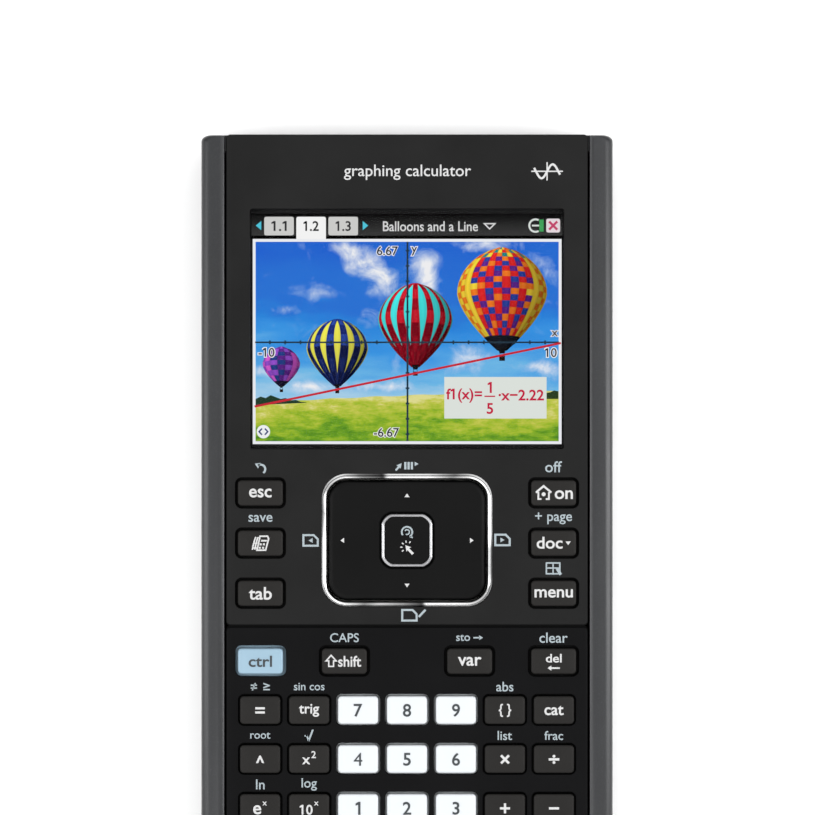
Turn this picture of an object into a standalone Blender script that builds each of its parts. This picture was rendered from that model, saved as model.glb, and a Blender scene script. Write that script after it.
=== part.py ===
"""Handheld graphing calculator with a colour display, a click touchpad and a full keypad.

It lies on its back. +X is right, +Y is towards the display end and +Z is up out of the keys.
The origin is on the table under the middle of the case. Lengths are in metres.
"""

from math import cos, pi, radians, sin

import bmesh
import bpy

MM = 0.001
GAP = 0.3 * MM  # between two pieces that rest on each other

# Case. The rear cover's sides show as rails on both sides of the front cover.
CASE_WIDTH = 86.0 * MM
CASE_LENGTH = 191.0 * MM
CASE_CORNER = (4.2 * MM, 1.5 * MM)  # the ends slope a little before each corner turns
RAIL_TOP = 14.9 * MM
RAIL_EDGE_ROUND = 1.6 * MM
RAIL_END_ROUND = 0.6 * MM
RAIL_INNER_HALF = 38.2 * MM
RAIL_INNER_BEVEL = 0.5 * MM
BACK_Z = 0.5 * MM  # the back's outer face, over the moulded feet
FLOOR_Z = 2.0 * MM
BELLY_ROUND = (7.0 * MM, 2.5 * MM, 6.5 * MM)  # how far the back edge curves in along X, Y and Z
END_WALL_INNER = 93.3 * MM
END_WALL_TOP = 13.1 * MM
FOOT_SIZE = (14.0 * MM, 5.0 * MM)
FOOT_PLACE = (20.0 * MM, 87.0 * MM)

# Front cover
PLATE_HALF_WIDTH = 37.8 * MM
PLATE_BOTTOM = END_WALL_TOP + GAP
PLATE_TOP = 15.0 * MM
PLATE_EDGE = 0.5 * MM
DECK_TOP = 14.7 * MM  # the keypad deck, a step below the display plate
SEAM_Y = -7.0 * MM
SEAM_WIDTH = 0.8 * MM
SEAM_DEPTH = 0.7 * MM
SKIRT_X = (36.6 * MM, 37.4 * MM)
SKIRT_BOTTOM = 11.0 * MM
SKIRT_HALF_LENGTH = 80.0 * MM

# Screws that join the two covers
SCREW_PLACE = (33.0 * MM, 87.5 * MM)
SCREW_RADIUS = 1.0 * MM
SCREW_HEAD_RADIUS = 2.0 * MM
SCREW_HEAD_Z = (0.9 * MM, 2.5 * MM)
SCREW_TIP_Z = 12.2 * MM
FRONT_BOSS_RADIUS = 2.6 * MM
REAR_POST_RADIUS = 3.2 * MM
POST_MEETING_Z = (6.6 * MM, 7.0 * MM)
ROUND_STEPS = 12

# Display
SCREEN_CENTRE_Y = 54.95 * MM
SCREEN_SIZE = (65.1 * MM, 48.4 * MM)  # the lit area of a 3.2 inch panel
WINDOW_MARGIN = 0.45 * MM
WINDOW_BEVEL = 0.6 * MM
LENS_SIZE = (67.4 * MM, 50.8 * MM)
LENS_Z = (13.0 * MM, 13.8 * MM)
LCD_SIZE = (71.0 * MM, 55.0 * MM)
LCD_Z = (9.6 * MM, 12.7 * MM)
LCD_RIM = 0.3 * MM

# Touchpad
PAD_CENTRE_Y = 10.85 * MM
RING_SIZE = (35.5 * MM, 27.6 * MM)
RING_CORNER = 5.2 * MM
RING_WALL = 0.95 * MM
RING_TOP = 15.4 * MM
RING_FLANGE = 1.2 * MM
RING_FLANGE_Z = (12.0 * MM, PLATE_BOTTOM - GAP)
PAD_Z = (13.5 * MM, 14.9 * MM)
PAD_EDGE = 0.4 * MM
PAD_PIVOT_Z = 12.9 * MM
CARRIER_Z = (11.5 * MM, 12.5 * MM)
CARRIER_RIDGE_TOP = PAD_Z[0] - GAP
CARRIER_RIDGE_WIDTH = 1.6 * MM
CARRIER_INSET = 0.5 * MM
BUTTON_SIZE = (11.0 * MM, 11.1 * MM)
BUTTON_CORNER = 2.4 * MM
BUTTON_TOP = 15.3 * MM
BUTTON_FLANGE = 1.0 * MM
BUTTON_FLANGE_Z = (12.0 * MM, 12.9 * MM)
BUTTON_CLEARANCE = 0.35 * MM
CARRIER_HOLE = 16.0 * MM

# Keys. Each cap stands on a flange that holds it under the front cover.
KEY_TOP = 15.7 * MM
KEY_FLANGE_Z = (12.0 * MM, 12.9 * MM)
KEY_FLANGE_LAP = 0.3 * MM
KEY_EDGE = 0.35 * MM
KEY_CORNER = 1.0 * MM
KEY_CORNER_STEPS = 2
SIDE_CAP = (9.4 * MM, 5.3 * MM)
SIDE_CAP_GAP = 0.6 * MM
SIDE_KEY_X = 30.55 * MM
SIDE_KEY_ROWS_Y = (20.75 * MM, 10.3 * MM, -0.15 * MM)
INNER_KEY_X = 13.05 * MM
FIRST_ROW_Y = -14.3 * MM
MAIN_CAP = (8.4 * MM, 5.8 * MM)
MAIN_CAP_GAP = 0.4 * MM
MAIN_PITCH = (10.2 * MM, 10.2 * MM)
MAIN_COLUMNS = 7
LETTER_CAP = (5.9 * MM, 4.4 * MM)
LETTER_CAP_GAP = 0.35 * MM
LETTER_CORNER_STEPS = 1
LETTER_PITCH = (7.65 * MM, 7.7 * MM)
LETTER_COLUMNS = 9
LETTER_FIRST_ROW_Y = -64.5 * MM
LETTER_TOP = 15.4 * MM
LETTER_WEB = 0.6 * MM  # how far a letter row's carrier reaches past its caps
SPACE_COLUMN = 6.5
SPACE_CAP_WIDTH = LETTER_CAP[0] + LETTER_PITCH[0]

LEFT_KEYS = ("key_esc", "key_scratchpad", "key_tab")
RIGHT_KEYS = ("key_home", "key_doc", "key_menu")
FIRST_ROW_KEYS = {
    "key_ctrl": -SIDE_KEY_X,
    "key_shift": -INNER_KEY_X,
    "key_var": INNER_KEY_X,
    "key_del": SIDE_KEY_X,
}
MAIN_ROWS = (
    ("key_equals", "key_trig", "key_7", "key_8", "key_9", "key_template", "key_catalog"),
    ("key_power", "key_square", "key_4", "key_5", "key_6", "key_multiply", "key_divide"),
    ("key_exponential", "key_ten_power", "key_1", "key_2", "key_3", "key_plus", "key_minus"),
    ("key_open_bracket", "key_close_bracket", "key_0", "key_point", "key_negative"),
)
ENTER_COLUMN = 5.5
LETTER_ROWS = {
    "key_row_a_to_g": range(LETTER_COLUMNS),
    "key_row_h_to_n": range(LETTER_COLUMNS),
    "key_row_o_to_u": range(LETTER_COLUMNS),
    "key_row_v_to_z": range(1, 6),
}

# Inside
BOARD_Z = (6.9 * MM, 8.1 * MM)
BOARD_HALF_WIDTH = 37.4 * MM
BOARD_HALF_LENGTH = 92.6 * MM
BOARD_NOTCH = (8.2 * MM, 9.0 * MM)
MAT_Z = (BOARD_Z[1] + GAP, 9.3 * MM)
MAT_HALF_WIDTH = 35.6 * MM
MAT_Y = (-90.6 * MM, 26.4 * MM)
MAT_NOTCH = (6.4 * MM, 7.0 * MM)
POST_BASE = (4.2 * MM, 3.2 * MM)
POST_TOP = (3.4 * MM, 2.4 * MM)
POST_TOP_Z = KEY_FLANGE_Z[0] - GAP

# Battery, in a bay that opens through the back
DOOR_CENTRE_Y = -45.0 * MM
DOOR_SIZE = (44.0 * MM, 60.0 * MM)
DOOR_CORNER = 2.0 * MM
DOOR_LEDGE_Z = 1.5 * MM
BAY_CENTRE_Y = -48.0 * MM
BAY_SIZE = (40.0 * MM, 50.0 * MM)
BAY_WALL = 1.2 * MM
BAY_WALL_TOP = 6.2 * MM
BATTERY_SIZE = (37.0 * MM, 47.0 * MM)
BATTERY_Z = (1.9 * MM, 6.4 * MM)
DOOR_SCREW_PLACE = (14.0 * MM, -19.0 * MM)
DOOR_SCREW_RADIUS = 1.1 * MM
DOOR_SCREW_HEAD_RADIUS = 2.0 * MM
DOOR_SCREW_SINK = 0.4 * MM
DOOR_POST_RADIUS = 2.4 * MM

# Ports and the reset button
USB_SIZE = (7.7 * MM, 9.2 * MM, 3.9 * MM)
USB_MOUTH = (6.8 * MM, 8.3 * MM, 3.0 * MM)
USB_TONGUE = (4.8 * MM, 7.5 * MM, 0.7 * MM)
DOCK_SIZE = (24.0 * MM, 3.8 * MM, 3.6 * MM)
DOCK_SLOT = (21.0 * MM, 2.6 * MM, 1.8 * MM)
PORT_FACE_Y = 95.0 * MM
PORT_BOTTOM = BOARD_Z[1] + GAP
PORT_CLEARANCE = 0.6 * MM
RESET_PLACE = (-24.0 * MM, 60.0 * MM)
RESET_RADIUS = 1.0 * MM
RESET_FLANGE_RADIUS = 2.0 * MM
LABEL_SIZE = (52.0 * MM, 20.0 * MM)
LABEL_CENTRE_Y = 34.0 * MM
LABEL_DEPTH = 0.2 * MM

FAR = 120.0 * MM  # past the case in any direction

FINISHES = {  # base colour, roughness, metallic
    "rail_grey": ((0.075, 0.077, 0.081), 0.42, 0.0),
    "cover_black": ((0.024, 0.024, 0.024), 0.5, 0.0),
    "key_black": ((0.036, 0.034, 0.034), 0.5, 0.0),
    "key_white": ((0.72, 0.74, 0.75), 0.45, 0.0),
    "key_grey": ((0.16, 0.165, 0.17), 0.45, 0.0),
    "key_blue": ((0.46, 0.66, 0.80), 0.4, 0.0),
    "pad_black": ((0.013, 0.013, 0.013), 0.35, 0.0),
    "chrome": ((0.8, 0.8, 0.82), 0.15, 1.0),
    "lens": ((0.9, 0.92, 0.95), 0.05, 0.0),
    "display": ((0.08, 0.2, 0.5), 0.3, 0.0),
    "board_green": ((0.02, 0.12, 0.05), 0.5, 0.0),
    "silicone": ((0.5, 0.5, 0.48), 0.8, 0.0),
    "battery_wrap": ((0.05, 0.05, 0.055), 0.5, 0.0),
    "steel": ((0.6, 0.6, 0.62), 0.3, 1.0),
}


# Building blocks


def material(finish):
    """The named finish as a Principled material, made once."""
    if finish in bpy.data.materials:
        return bpy.data.materials[finish]
    colour, roughness, metallic = FINISHES[finish]
    made = bpy.data.materials.new(finish)
    made.use_nodes = True
    shader = made.node_tree.nodes["Principled BSDF"]
    shader.inputs["Base Color"].default_value = (*colour, 1.0)
    shader.inputs["Roughness"].default_value = roughness
    shader.inputs["Metallic"].default_value = metallic
    return made


def rounded(size, corner, steps=KEY_CORNER_STEPS, centre=(0.0, 0.0)):
    """Points of a rounded rectangle, anticlockwise. A corner may be (reach in X, reach in Y)."""
    reach_x, reach_y = corner if isinstance(corner, tuple) else (corner, corner)
    half_x, half_y = size[0] / 2 - reach_x, size[1] / 2 - reach_y
    points = []
    for quarter, (side_x, side_y) in enumerate(((1, 1), (-1, 1), (-1, -1), (1, -1))):
        for step in range(steps + 1):
            angle = (quarter + step / steps) * pi / 2
            points.append(
                (
                    centre[0] + side_x * half_x + reach_x * cos(angle),
                    centre[1] + side_y * half_y + reach_y * sin(angle),
                )
            )
    return points


def rectangle(size, centre=(0.0, 0.0)):
    """Points of a rectangle, anticlockwise."""
    half_x, half_y = size[0] / 2, size[1] / 2
    signs = ((1, 1), (-1, 1), (-1, -1), (1, -1))
    return [(centre[0] + x * half_x, centre[1] + y * half_y) for x, y in signs]


def circle(radius, centre=(0.0, 0.0), steps=ROUND_STEPS):
    """Points of a regular polygon that stands for a circle, anticlockwise."""
    angles = [2 * pi * step / steps for step in range(steps)]
    return [(centre[0] + radius * cos(a), centre[1] + radius * sin(a)) for a in angles]


def notched(half_width, low, high, notch, notch_top=True):
    """Points of a rectangle with its corners cut out, anticlockwise."""
    inner = half_width - notch[0]
    bottom = [(-half_width, low + notch[1]), (-inner, low + notch[1]), (-inner, low)]
    bottom += [(inner, low), (inner, low + notch[1]), (half_width, low + notch[1])]
    if not notch_top:
        return bottom + [(half_width, high), (-half_width, high)]
    top = [(half_width, high - notch[1]), (inner, high - notch[1]), (inner, high)]
    top += [(-inner, high), (-inner, high - notch[1]), (-half_width, high - notch[1])]
    return bottom + top


def grown(size, margin):
    """A size that reaches margin further on each side."""
    return (size[0] + 2 * margin, size[1] + 2 * margin)


def add_loft(mesh, rings):
    """Adds a closed solid to mesh, through rings of equally many points, each (points, z), going up."""
    loops = [[mesh.verts.new((x, y, z)) for x, y in points] for points, z in rings]
    for lower, upper in zip(loops, loops[1:]):
        for here in range(len(lower)):
            after = (here + 1) % len(lower)
            mesh.faces.new((lower[here], lower[after], upper[after], upper[here]))
    mesh.faces.new(reversed(loops[0]))
    mesh.faces.new(loops[-1])


def add_ring(mesh, outer, inner, low, high):
    """Adds a closed ring to mesh, between an outer and an inner outline of equally many points."""
    corners = [
        [mesh.verts.new((x, y, z)) for x, y in points]
        for points, z in ((outer, low), (outer, high), (inner, high), (inner, low))
    ]
    for side in range(4):
        first, second = corners[side], corners[(side + 1) % 4]
        for here in range(len(outer)):
            after = (here + 1) % len(outer)
            mesh.faces.new((first[here], first[after], second[after], second[here]))


def prism(points, low, high):
    """The two rings of a straight prism."""
    return [(points, low), (points, high)]


def object_of(name, build, finish, location=(0.0, 0.0, 0.0)):
    """A named object whose mesh is filled by build(mesh)."""
    mesh = bmesh.new()
    build(mesh)
    data = bpy.data.meshes.new(name)
    mesh.to_mesh(data)
    mesh.free()
    data.materials.append(material(finish))
    data.shade_smooth()
    data.set_sharp_from_angle(angle=radians(30))
    return shown(name, data, location)


def shown(name, data, location=(0.0, 0.0, 0.0)):
    """A named object on a mesh that it may share with others."""
    made = bpy.data.objects.new(name, data)
    made.location = location
    bpy.context.scene.collection.objects.link(made)
    return made


def change(target, operation, label, *solids):
    """A Boolean on target, with a hidden helper that holds solids, each a list of loft rings."""

    def build(mesh):
        for rings in solids:
            add_loft(mesh, rings)

    helper = object_of(f"{target.name}_{label}", build, "cover_black")
    helper.hide_render = True
    helper.display_type = "WIRE"
    modifier = target.modifiers.new(label, "BOOLEAN")
    modifier.operation = operation
    modifier.solver = "EXACT"
    modifier.object = helper


def corners(place):
    """The four mirror images of a point."""
    return [(x * place[0], y * place[1]) for x in (-1, 1) for y in (-1, 1)]


# Layout


def column_x(column):
    return (column - (MAIN_COLUMNS - 1) / 2) * MAIN_PITCH[0]


def letter_x(column):
    return (column - (LETTER_COLUMNS - 1) / 2) * LETTER_PITCH[0]


def single_keys():
    """Every key that moves alone: name, centre, cap size and the gap around its cap."""
    found = []
    for names, side in ((LEFT_KEYS, -1), (RIGHT_KEYS, 1)):
        for name, y in zip(names, SIDE_KEY_ROWS_Y):
            found.append((name, (side * SIDE_KEY_X, y), SIDE_CAP, SIDE_CAP_GAP))
    for name, x in FIRST_ROW_KEYS.items():
        found.append((name, (x, FIRST_ROW_Y), SIDE_CAP, SIDE_CAP_GAP))
    for row, names in enumerate(MAIN_ROWS, start=1):
        y = FIRST_ROW_Y - row * MAIN_PITCH[1]
        for column, name in enumerate(names):
            found.append((name, (column_x(column), y), MAIN_CAP, MAIN_CAP_GAP))
    enter_cap = (MAIN_CAP[0] + MAIN_PITCH[0], MAIN_CAP[1])
    enter_y = FIRST_ROW_Y - len(MAIN_ROWS) * MAIN_PITCH[1]
    found.append(("key_enter", (column_x(ENTER_COLUMN), enter_y), enter_cap, MAIN_CAP_GAP))
    return found


def letter_rows():
    """Each letter row: name, y, and the x and cap size of each of its caps."""
    found = []
    for row, (name, columns) in enumerate(LETTER_ROWS.items()):
        caps = [(letter_x(column), LETTER_CAP) for column in columns]
        if name == "key_row_v_to_z":
            caps.append((letter_x(SPACE_COLUMN), (SPACE_CAP_WIDTH, LETTER_CAP[1])))
        found.append((name, LETTER_FIRST_ROW_Y - row * LETTER_PITCH[1], caps))
    return found


def key_openings():
    """The outline of each hole that a key cap comes up through."""
    outlines = []
    for _, centre, cap, gap in single_keys():
        outlines.append(rounded(grown(cap, gap), KEY_CORNER + gap, centre=centre))
    for _, y, caps in letter_rows():
        for x, cap in caps:
            size = grown(cap, LETTER_CAP_GAP)
            corner = KEY_CORNER + LETTER_CAP_GAP
            outlines.append(rounded(size, corner, LETTER_CORNER_STEPS, centre=(x, y)))
    return outlines


def finish_of(name):
    """White for the digits, blue for ctrl and black for the rest."""
    if name == "key_ctrl":
        return "key_blue"
    white = name.removeprefix("key_").isdigit() or name in ("key_point", "key_negative")
    return "key_white" if white else "key_black"


# Covers


def build_rear_cover():
    """The grey tub: back, sides and ends, with screw posts, feet and the battery bay."""
    in_x, in_y, up = BELLY_ROUND
    rings = []
    for step in range(5):
        angle = step * pi / 8
        inset_x, inset_y = in_x * (1 - sin(angle)), in_y * (1 - sin(angle))
        size = (CASE_WIDTH - 2 * inset_x, CASE_LENGTH - 2 * inset_y)
        corner = (CASE_CORNER[0] + inset_x / 2, CASE_CORNER[1] + inset_y)
        rings.append((rounded(size, corner, steps=4), BACK_Z + up * (1 - cos(angle))))
    for step in range(4):
        angle = step * pi / 6
        inset_x = RAIL_EDGE_ROUND * (1 - cos(angle))
        inset_y = RAIL_END_ROUND * (1 - cos(angle))
        size = (CASE_WIDTH - 2 * inset_x, CASE_LENGTH - 2 * inset_y)
        z = RAIL_TOP - RAIL_EDGE_ROUND * (1 - sin(angle))
        rings.append((rounded(size, CASE_CORNER, steps=4), z))
    cover = object_of("rear_cover", lambda mesh: add_loft(mesh, rings), "rail_grey")

    cavity = (2 * RAIL_INNER_HALF, 2 * END_WALL_INNER)
    floor = (2 * (CASE_WIDTH / 2 - in_x), 2 * (END_WALL_INNER - 1.3 * MM))
    bend_z = FLOOR_Z + 2 * MM
    change(
        cover,
        "DIFFERENCE",
        "cavity",
        [
            (rounded(floor, 2 * MM), FLOOR_Z),
            (rounded(cavity, 2 * MM), bend_z),
            (rounded(cavity, 2 * MM), RAIL_TOP + MM),
        ],
    )
    slot = rectangle((2 * RAIL_INNER_HALF, 2 * FAR))
    bevel_reach = RAIL_INNER_BEVEL + MM
    flared = rectangle((2 * (RAIL_INNER_HALF + bevel_reach), 2 * FAR))
    change(
        cover,
        "DIFFERENCE",
        "plate_slot",
        [
            (slot, END_WALL_TOP),
            (slot, RAIL_TOP - RAIL_INNER_BEVEL),
            (flared, RAIL_TOP + MM),
        ],
    )
    feet = [
        prism(rounded(FOOT_SIZE, 2 * MM, centre=place), 0.0, BACK_Z + GAP)
        for place in corners(FOOT_PLACE)
    ]
    posts = [
        prism(circle(REAR_POST_RADIUS, place), FLOOR_Z - GAP, POST_MEETING_Z[0])
        for place in corners(SCREW_PLACE)
    ]
    change(cover, "UNION", "feet_and_posts", *feet, *posts)
    bay_block = rounded(grown(BAY_SIZE, BAY_WALL), DOOR_CORNER, centre=(0, BAY_CENTRE_Y))
    door_posts = [
        prism(circle(DOOR_POST_RADIUS, place), FLOOR_Z - GAP, BAY_WALL_TOP)
        for place in corners(DOOR_SCREW_PLACE)
        if place[1] < 0
    ]
    change(
        cover,
        "UNION",
        "battery_bay",
        prism(bay_block, FLOOR_Z - GAP, BAY_WALL_TOP),
        *door_posts,
    )
    door_outline = rounded(DOOR_SIZE, DOOR_CORNER, centre=(0, DOOR_CENTRE_Y))
    bay_outline = rounded(BAY_SIZE, DOOR_CORNER, centre=(0, BAY_CENTRE_Y))
    bay = [
        (door_outline, -MM),
        (door_outline, DOOR_LEDGE_Z),
        (bay_outline, DOOR_LEDGE_Z),
        (bay_outline, BAY_WALL_TOP + MM),
    ]
    screw_holes = [
        [
            (circle(SCREW_HEAD_RADIUS + 0.5 * MM, place), -MM),
            (circle(SCREW_HEAD_RADIUS + 0.5 * MM, place), SCREW_HEAD_Z[1] + GAP),
            (circle(SCREW_RADIUS + GAP, place), SCREW_HEAD_Z[1] + GAP),
            (circle(SCREW_RADIUS + GAP, place), POST_MEETING_Z[0] + MM),
        ]
        for place in corners(SCREW_PLACE)
    ]
    reset_hole = prism(circle(RESET_RADIUS + GAP, RESET_PLACE), -MM, FLOOR_Z + MM)
    label = rounded(LABEL_SIZE, MM, centre=(0, LABEL_CENTRE_Y))
    change(
        cover,
        "DIFFERENCE",
        "back_openings",
        bay,
        *screw_holes,
        reset_hole,
        prism(label, -MM, BACK_Z + LABEL_DEPTH),
    )
    pilot_z = (DOOR_LEDGE_Z - MM, BAY_WALL_TOP - MM)
    pilots = [
        prism(circle(DOOR_SCREW_RADIUS - GAP, place), *pilot_z)
        for place in corners(DOOR_SCREW_PLACE)
        if place[1] < 0
    ]
    notches = []
    for port, side in ((USB_SIZE, 1), (DOCK_SIZE, -1)):
        size = (port[0] + 2 * PORT_CLEARANCE, FAR)
        outline = rectangle(size, (0, side * (END_WALL_INNER + FAR / 2 - MM)))
        notches.append(prism(outline, PORT_BOTTOM - PORT_CLEARANCE, RAIL_TOP + MM))
    change(cover, "DIFFERENCE", "ports_and_pilots", *notches, *pilots)


def build_front_cover():
    """The black plate with the window, the touchpad opening and a hole for each key."""
    full = (2 * PLATE_HALF_WIDTH, CASE_LENGTH)
    rings = [
        (rounded(full, 0.8 * MM), PLATE_BOTTOM),
        (rounded(full, 0.8 * MM), PLATE_TOP - PLATE_EDGE),
        (rounded(grown(full, -PLATE_EDGE), 0.5 * MM), PLATE_TOP),
    ]
    cover = object_of("front_cover", lambda mesh: add_loft(mesh, rings), "cover_black")

    low_y, high_y = -FAR, SEAM_Y + SEAM_WIDTH / 2
    deck = rectangle((2 * FAR, high_y - low_y), (0, (high_y + low_y) / 2))
    change(cover, "DIFFERENCE", "keypad_deck", prism(deck, DECK_TOP, PLATE_TOP + MM))

    skirt_size = (SKIRT_X[1] - SKIRT_X[0], 2 * SKIRT_HALF_LENGTH)
    skirts = [
        prism(rectangle(skirt_size, (side * sum(SKIRT_X) / 2, 0)), SKIRT_BOTTOM, PLATE_BOTTOM + GAP)
        for side in (-1, 1)
    ]
    bosses = [
        prism(circle(FRONT_BOSS_RADIUS, place), POST_MEETING_Z[1], PLATE_BOTTOM + GAP)
        for place in corners(SCREW_PLACE)
    ]
    change(cover, "UNION", "skirts_and_bosses", *skirts, *bosses)

    centre = (0, SCREEN_CENTRE_Y)
    opening = grown(SCREEN_SIZE, WINDOW_MARGIN)
    rebate_top = LENS_Z[1] + GAP
    window = [
        (rounded(grown(LENS_SIZE, GAP), MM, centre=centre), PLATE_BOTTOM - MM),
        (rounded(grown(LENS_SIZE, GAP), MM, centre=centre), rebate_top),
        (rounded(opening, 0.6 * MM, centre=centre), rebate_top),
        (rounded(opening, 0.6 * MM, centre=centre), PLATE_TOP - WINDOW_BEVEL),
        (rounded(grown(opening, 2 * WINDOW_BEVEL), MM, centre=centre), PLATE_TOP + WINDOW_BEVEL),
    ]
    pad_hole = rounded(grown(RING_SIZE, GAP), RING_CORNER + GAP, steps=4, centre=(0, PAD_CENTRE_Y))
    through = (PLATE_BOTTOM - MM, PLATE_TOP + MM)
    seam = rectangle((2 * FAR, SEAM_WIDTH), (0, SEAM_Y))
    pilots = [
        prism(circle(SCREW_RADIUS + GAP, place), POST_MEETING_Z[1] - MM, SCREW_TIP_Z + GAP)
        for place in corners(SCREW_PLACE)
    ]
    change(
        cover,
        "DIFFERENCE",
        "openings",
        window,
        prism(pad_hole, *through),
        prism(seam, PLATE_TOP - SEAM_DEPTH, PLATE_TOP + MM),
        *(prism(outline, *through) for outline in key_openings()),
        *pilots,
    )


# Display


def build_display():
    """The clear lens behind the front cover, and the panel under it."""
    centre = (0, SCREEN_CENTRE_Y)
    lens = prism(rounded(LENS_SIZE, 0.8 * MM, centre=centre), *LENS_Z)
    object_of("display_window", lambda mesh: add_loft(mesh, lens), "lens")
    frame, face = rounded(LCD_SIZE, MM, centre=centre), grown(SCREEN_SIZE, MM)
    panel = [
        (frame, LCD_Z[0]),
        (frame, LCD_Z[1]),
        (rounded(face, 0.5 * MM, centre=centre), LCD_Z[1]),
        (rounded(face, 0.5 * MM, centre=centre), LCD_Z[1] - LCD_RIM),
    ]
    object_of("lcd_module", lambda mesh: add_loft(mesh, panel), "display")


# Touchpad


def build_touchpad():
    """Chrome trim, a carrier that rocks up and down, a plate that rocks sideways, and a button."""
    middle = (0.0, PAD_CENTRE_Y, 0.0)
    pivot = (0.0, PAD_CENTRE_Y, PAD_PIVOT_Z)
    build_touchpad_ring(middle)
    build_touchpad_carrier(pivot)
    build_touchpad_plate(pivot)
    build_touchpad_button(middle)


def build_touchpad_ring(middle):
    outline = rounded(RING_SIZE, RING_CORNER, steps=4)
    flange = rounded(grown(RING_SIZE, RING_FLANGE), RING_CORNER + RING_FLANGE, steps=4)
    crown = rounded(grown(RING_SIZE, -RING_WALL / 4), RING_CORNER - RING_WALL / 4, steps=4)
    rings = [
        (flange, RING_FLANGE_Z[0]),
        (flange, RING_FLANGE_Z[1]),
        (outline, RING_FLANGE_Z[1]),
        (outline, RING_TOP - RING_WALL / 4),
        (crown, RING_TOP),
    ]
    trim = object_of("touchpad_ring", lambda mesh: add_loft(mesh, rings), "chrome", middle)
    inner = rounded(grown(RING_SIZE, -RING_WALL), RING_CORNER - RING_WALL, steps=4)
    inner = [(x, y + PAD_CENTRE_Y) for x, y in inner]
    change(trim, "DIFFERENCE", "inside", prism(inner, RING_FLANGE_Z[0] - MM, RING_TOP + MM))


def build_touchpad_carrier(pivot):
    """The sensor board's carrier, with a ridge that the plate rocks on."""
    size = grown(RING_SIZE, -RING_WALL - GAP - CARRIER_INSET)
    corner = RING_CORNER - RING_WALL - CARRIER_INSET
    hole = (CARRIER_HOLE, CARRIER_HOLE)
    low, high = (z - PAD_PIVOT_Z for z in CARRIER_Z)

    def build(mesh):
        outer = rounded(size, corner, steps=4)
        add_ring(mesh, outer, rounded(hole, 2 * MM, steps=4), low, high)

    carrier = object_of("touchpad_carrier", build, "board_green", pivot)
    ridge_length = (size[1] - CARRIER_HOLE) / 2 - MM
    ridge_y = (size[1] + CARRIER_HOLE) / 4
    ridges = [
        prism(
            rectangle((CARRIER_RIDGE_WIDTH, ridge_length), (0, PAD_CENTRE_Y + side * ridge_y)),
            CARRIER_Z[1] - GAP,
            CARRIER_RIDGE_TOP,
        )
        for side in (-1, 1)
    ]
    change(carrier, "UNION", "ridges", *ridges)


def build_touchpad_plate(pivot):
    size = grown(RING_SIZE, -RING_WALL - GAP)
    corner = RING_CORNER - RING_WALL - GAP
    low, high = (z - PAD_PIVOT_Z for z in PAD_Z)
    rings = [
        (rounded(size, corner, steps=4), low),
        (rounded(size, corner, steps=4), high - PAD_EDGE),
        (rounded(grown(size, -PAD_EDGE), corner - PAD_EDGE, steps=4), high),
    ]
    plate = object_of("touchpad_plate", lambda mesh: add_loft(mesh, rings), "pad_black", pivot)
    hole = rounded(
        grown(BUTTON_SIZE, BUTTON_CLEARANCE),
        BUTTON_CORNER + BUTTON_CLEARANCE,
        centre=(0, PAD_CENTRE_Y),
    )
    change(plate, "DIFFERENCE", "button_hole", prism(hole, PAD_Z[0] - MM, PAD_Z[1] + MM))


def build_touchpad_button(middle):
    cap = rounded(BUTTON_SIZE, BUTTON_CORNER)
    flange = rounded(grown(BUTTON_SIZE, BUTTON_FLANGE), BUTTON_CORNER + BUTTON_FLANGE)
    rings = [
        (flange, BUTTON_FLANGE_Z[0]),
        (flange, BUTTON_FLANGE_Z[1]),
        (cap, BUTTON_FLANGE_Z[1]),
        (cap, BUTTON_TOP - KEY_EDGE),
        (rounded(grown(BUTTON_SIZE, -KEY_EDGE), BUTTON_CORNER - KEY_EDGE), BUTTON_TOP),
    ]
    object_of("touchpad_button", lambda mesh: add_loft(mesh, rings), "pad_black", middle)


# Keys


def key_mesh(cap, gap, finish):
    """The mesh of a key, shared by every key of one size and finish."""
    label = f"cap_{cap[0] / MM:.1f}_{cap[1] / MM:.1f}_{finish}"
    if label in bpy.data.meshes:
        return bpy.data.meshes[label]
    flange = rounded(grown(cap, gap + KEY_FLANGE_LAP), KEY_CORNER + gap)
    rings = [
        (flange, KEY_FLANGE_Z[0]),
        (flange, KEY_FLANGE_Z[1]),
        (rounded(cap, KEY_CORNER), KEY_FLANGE_Z[1]),
        (rounded(cap, KEY_CORNER), KEY_TOP - KEY_EDGE),
        (rounded(grown(cap, -KEY_EDGE), KEY_CORNER - KEY_EDGE / 2), KEY_TOP),
    ]
    mesh = bmesh.new()
    add_loft(mesh, rings)
    data = bpy.data.meshes.new(label)
    mesh.to_mesh(data)
    mesh.free()
    data.materials.append(material(finish))
    return data


def build_single_keys():
    for name, (x, y), cap, gap in single_keys():
        shown(name, key_mesh(cap, gap, finish_of(name)), (x, y, 0.0))


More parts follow.
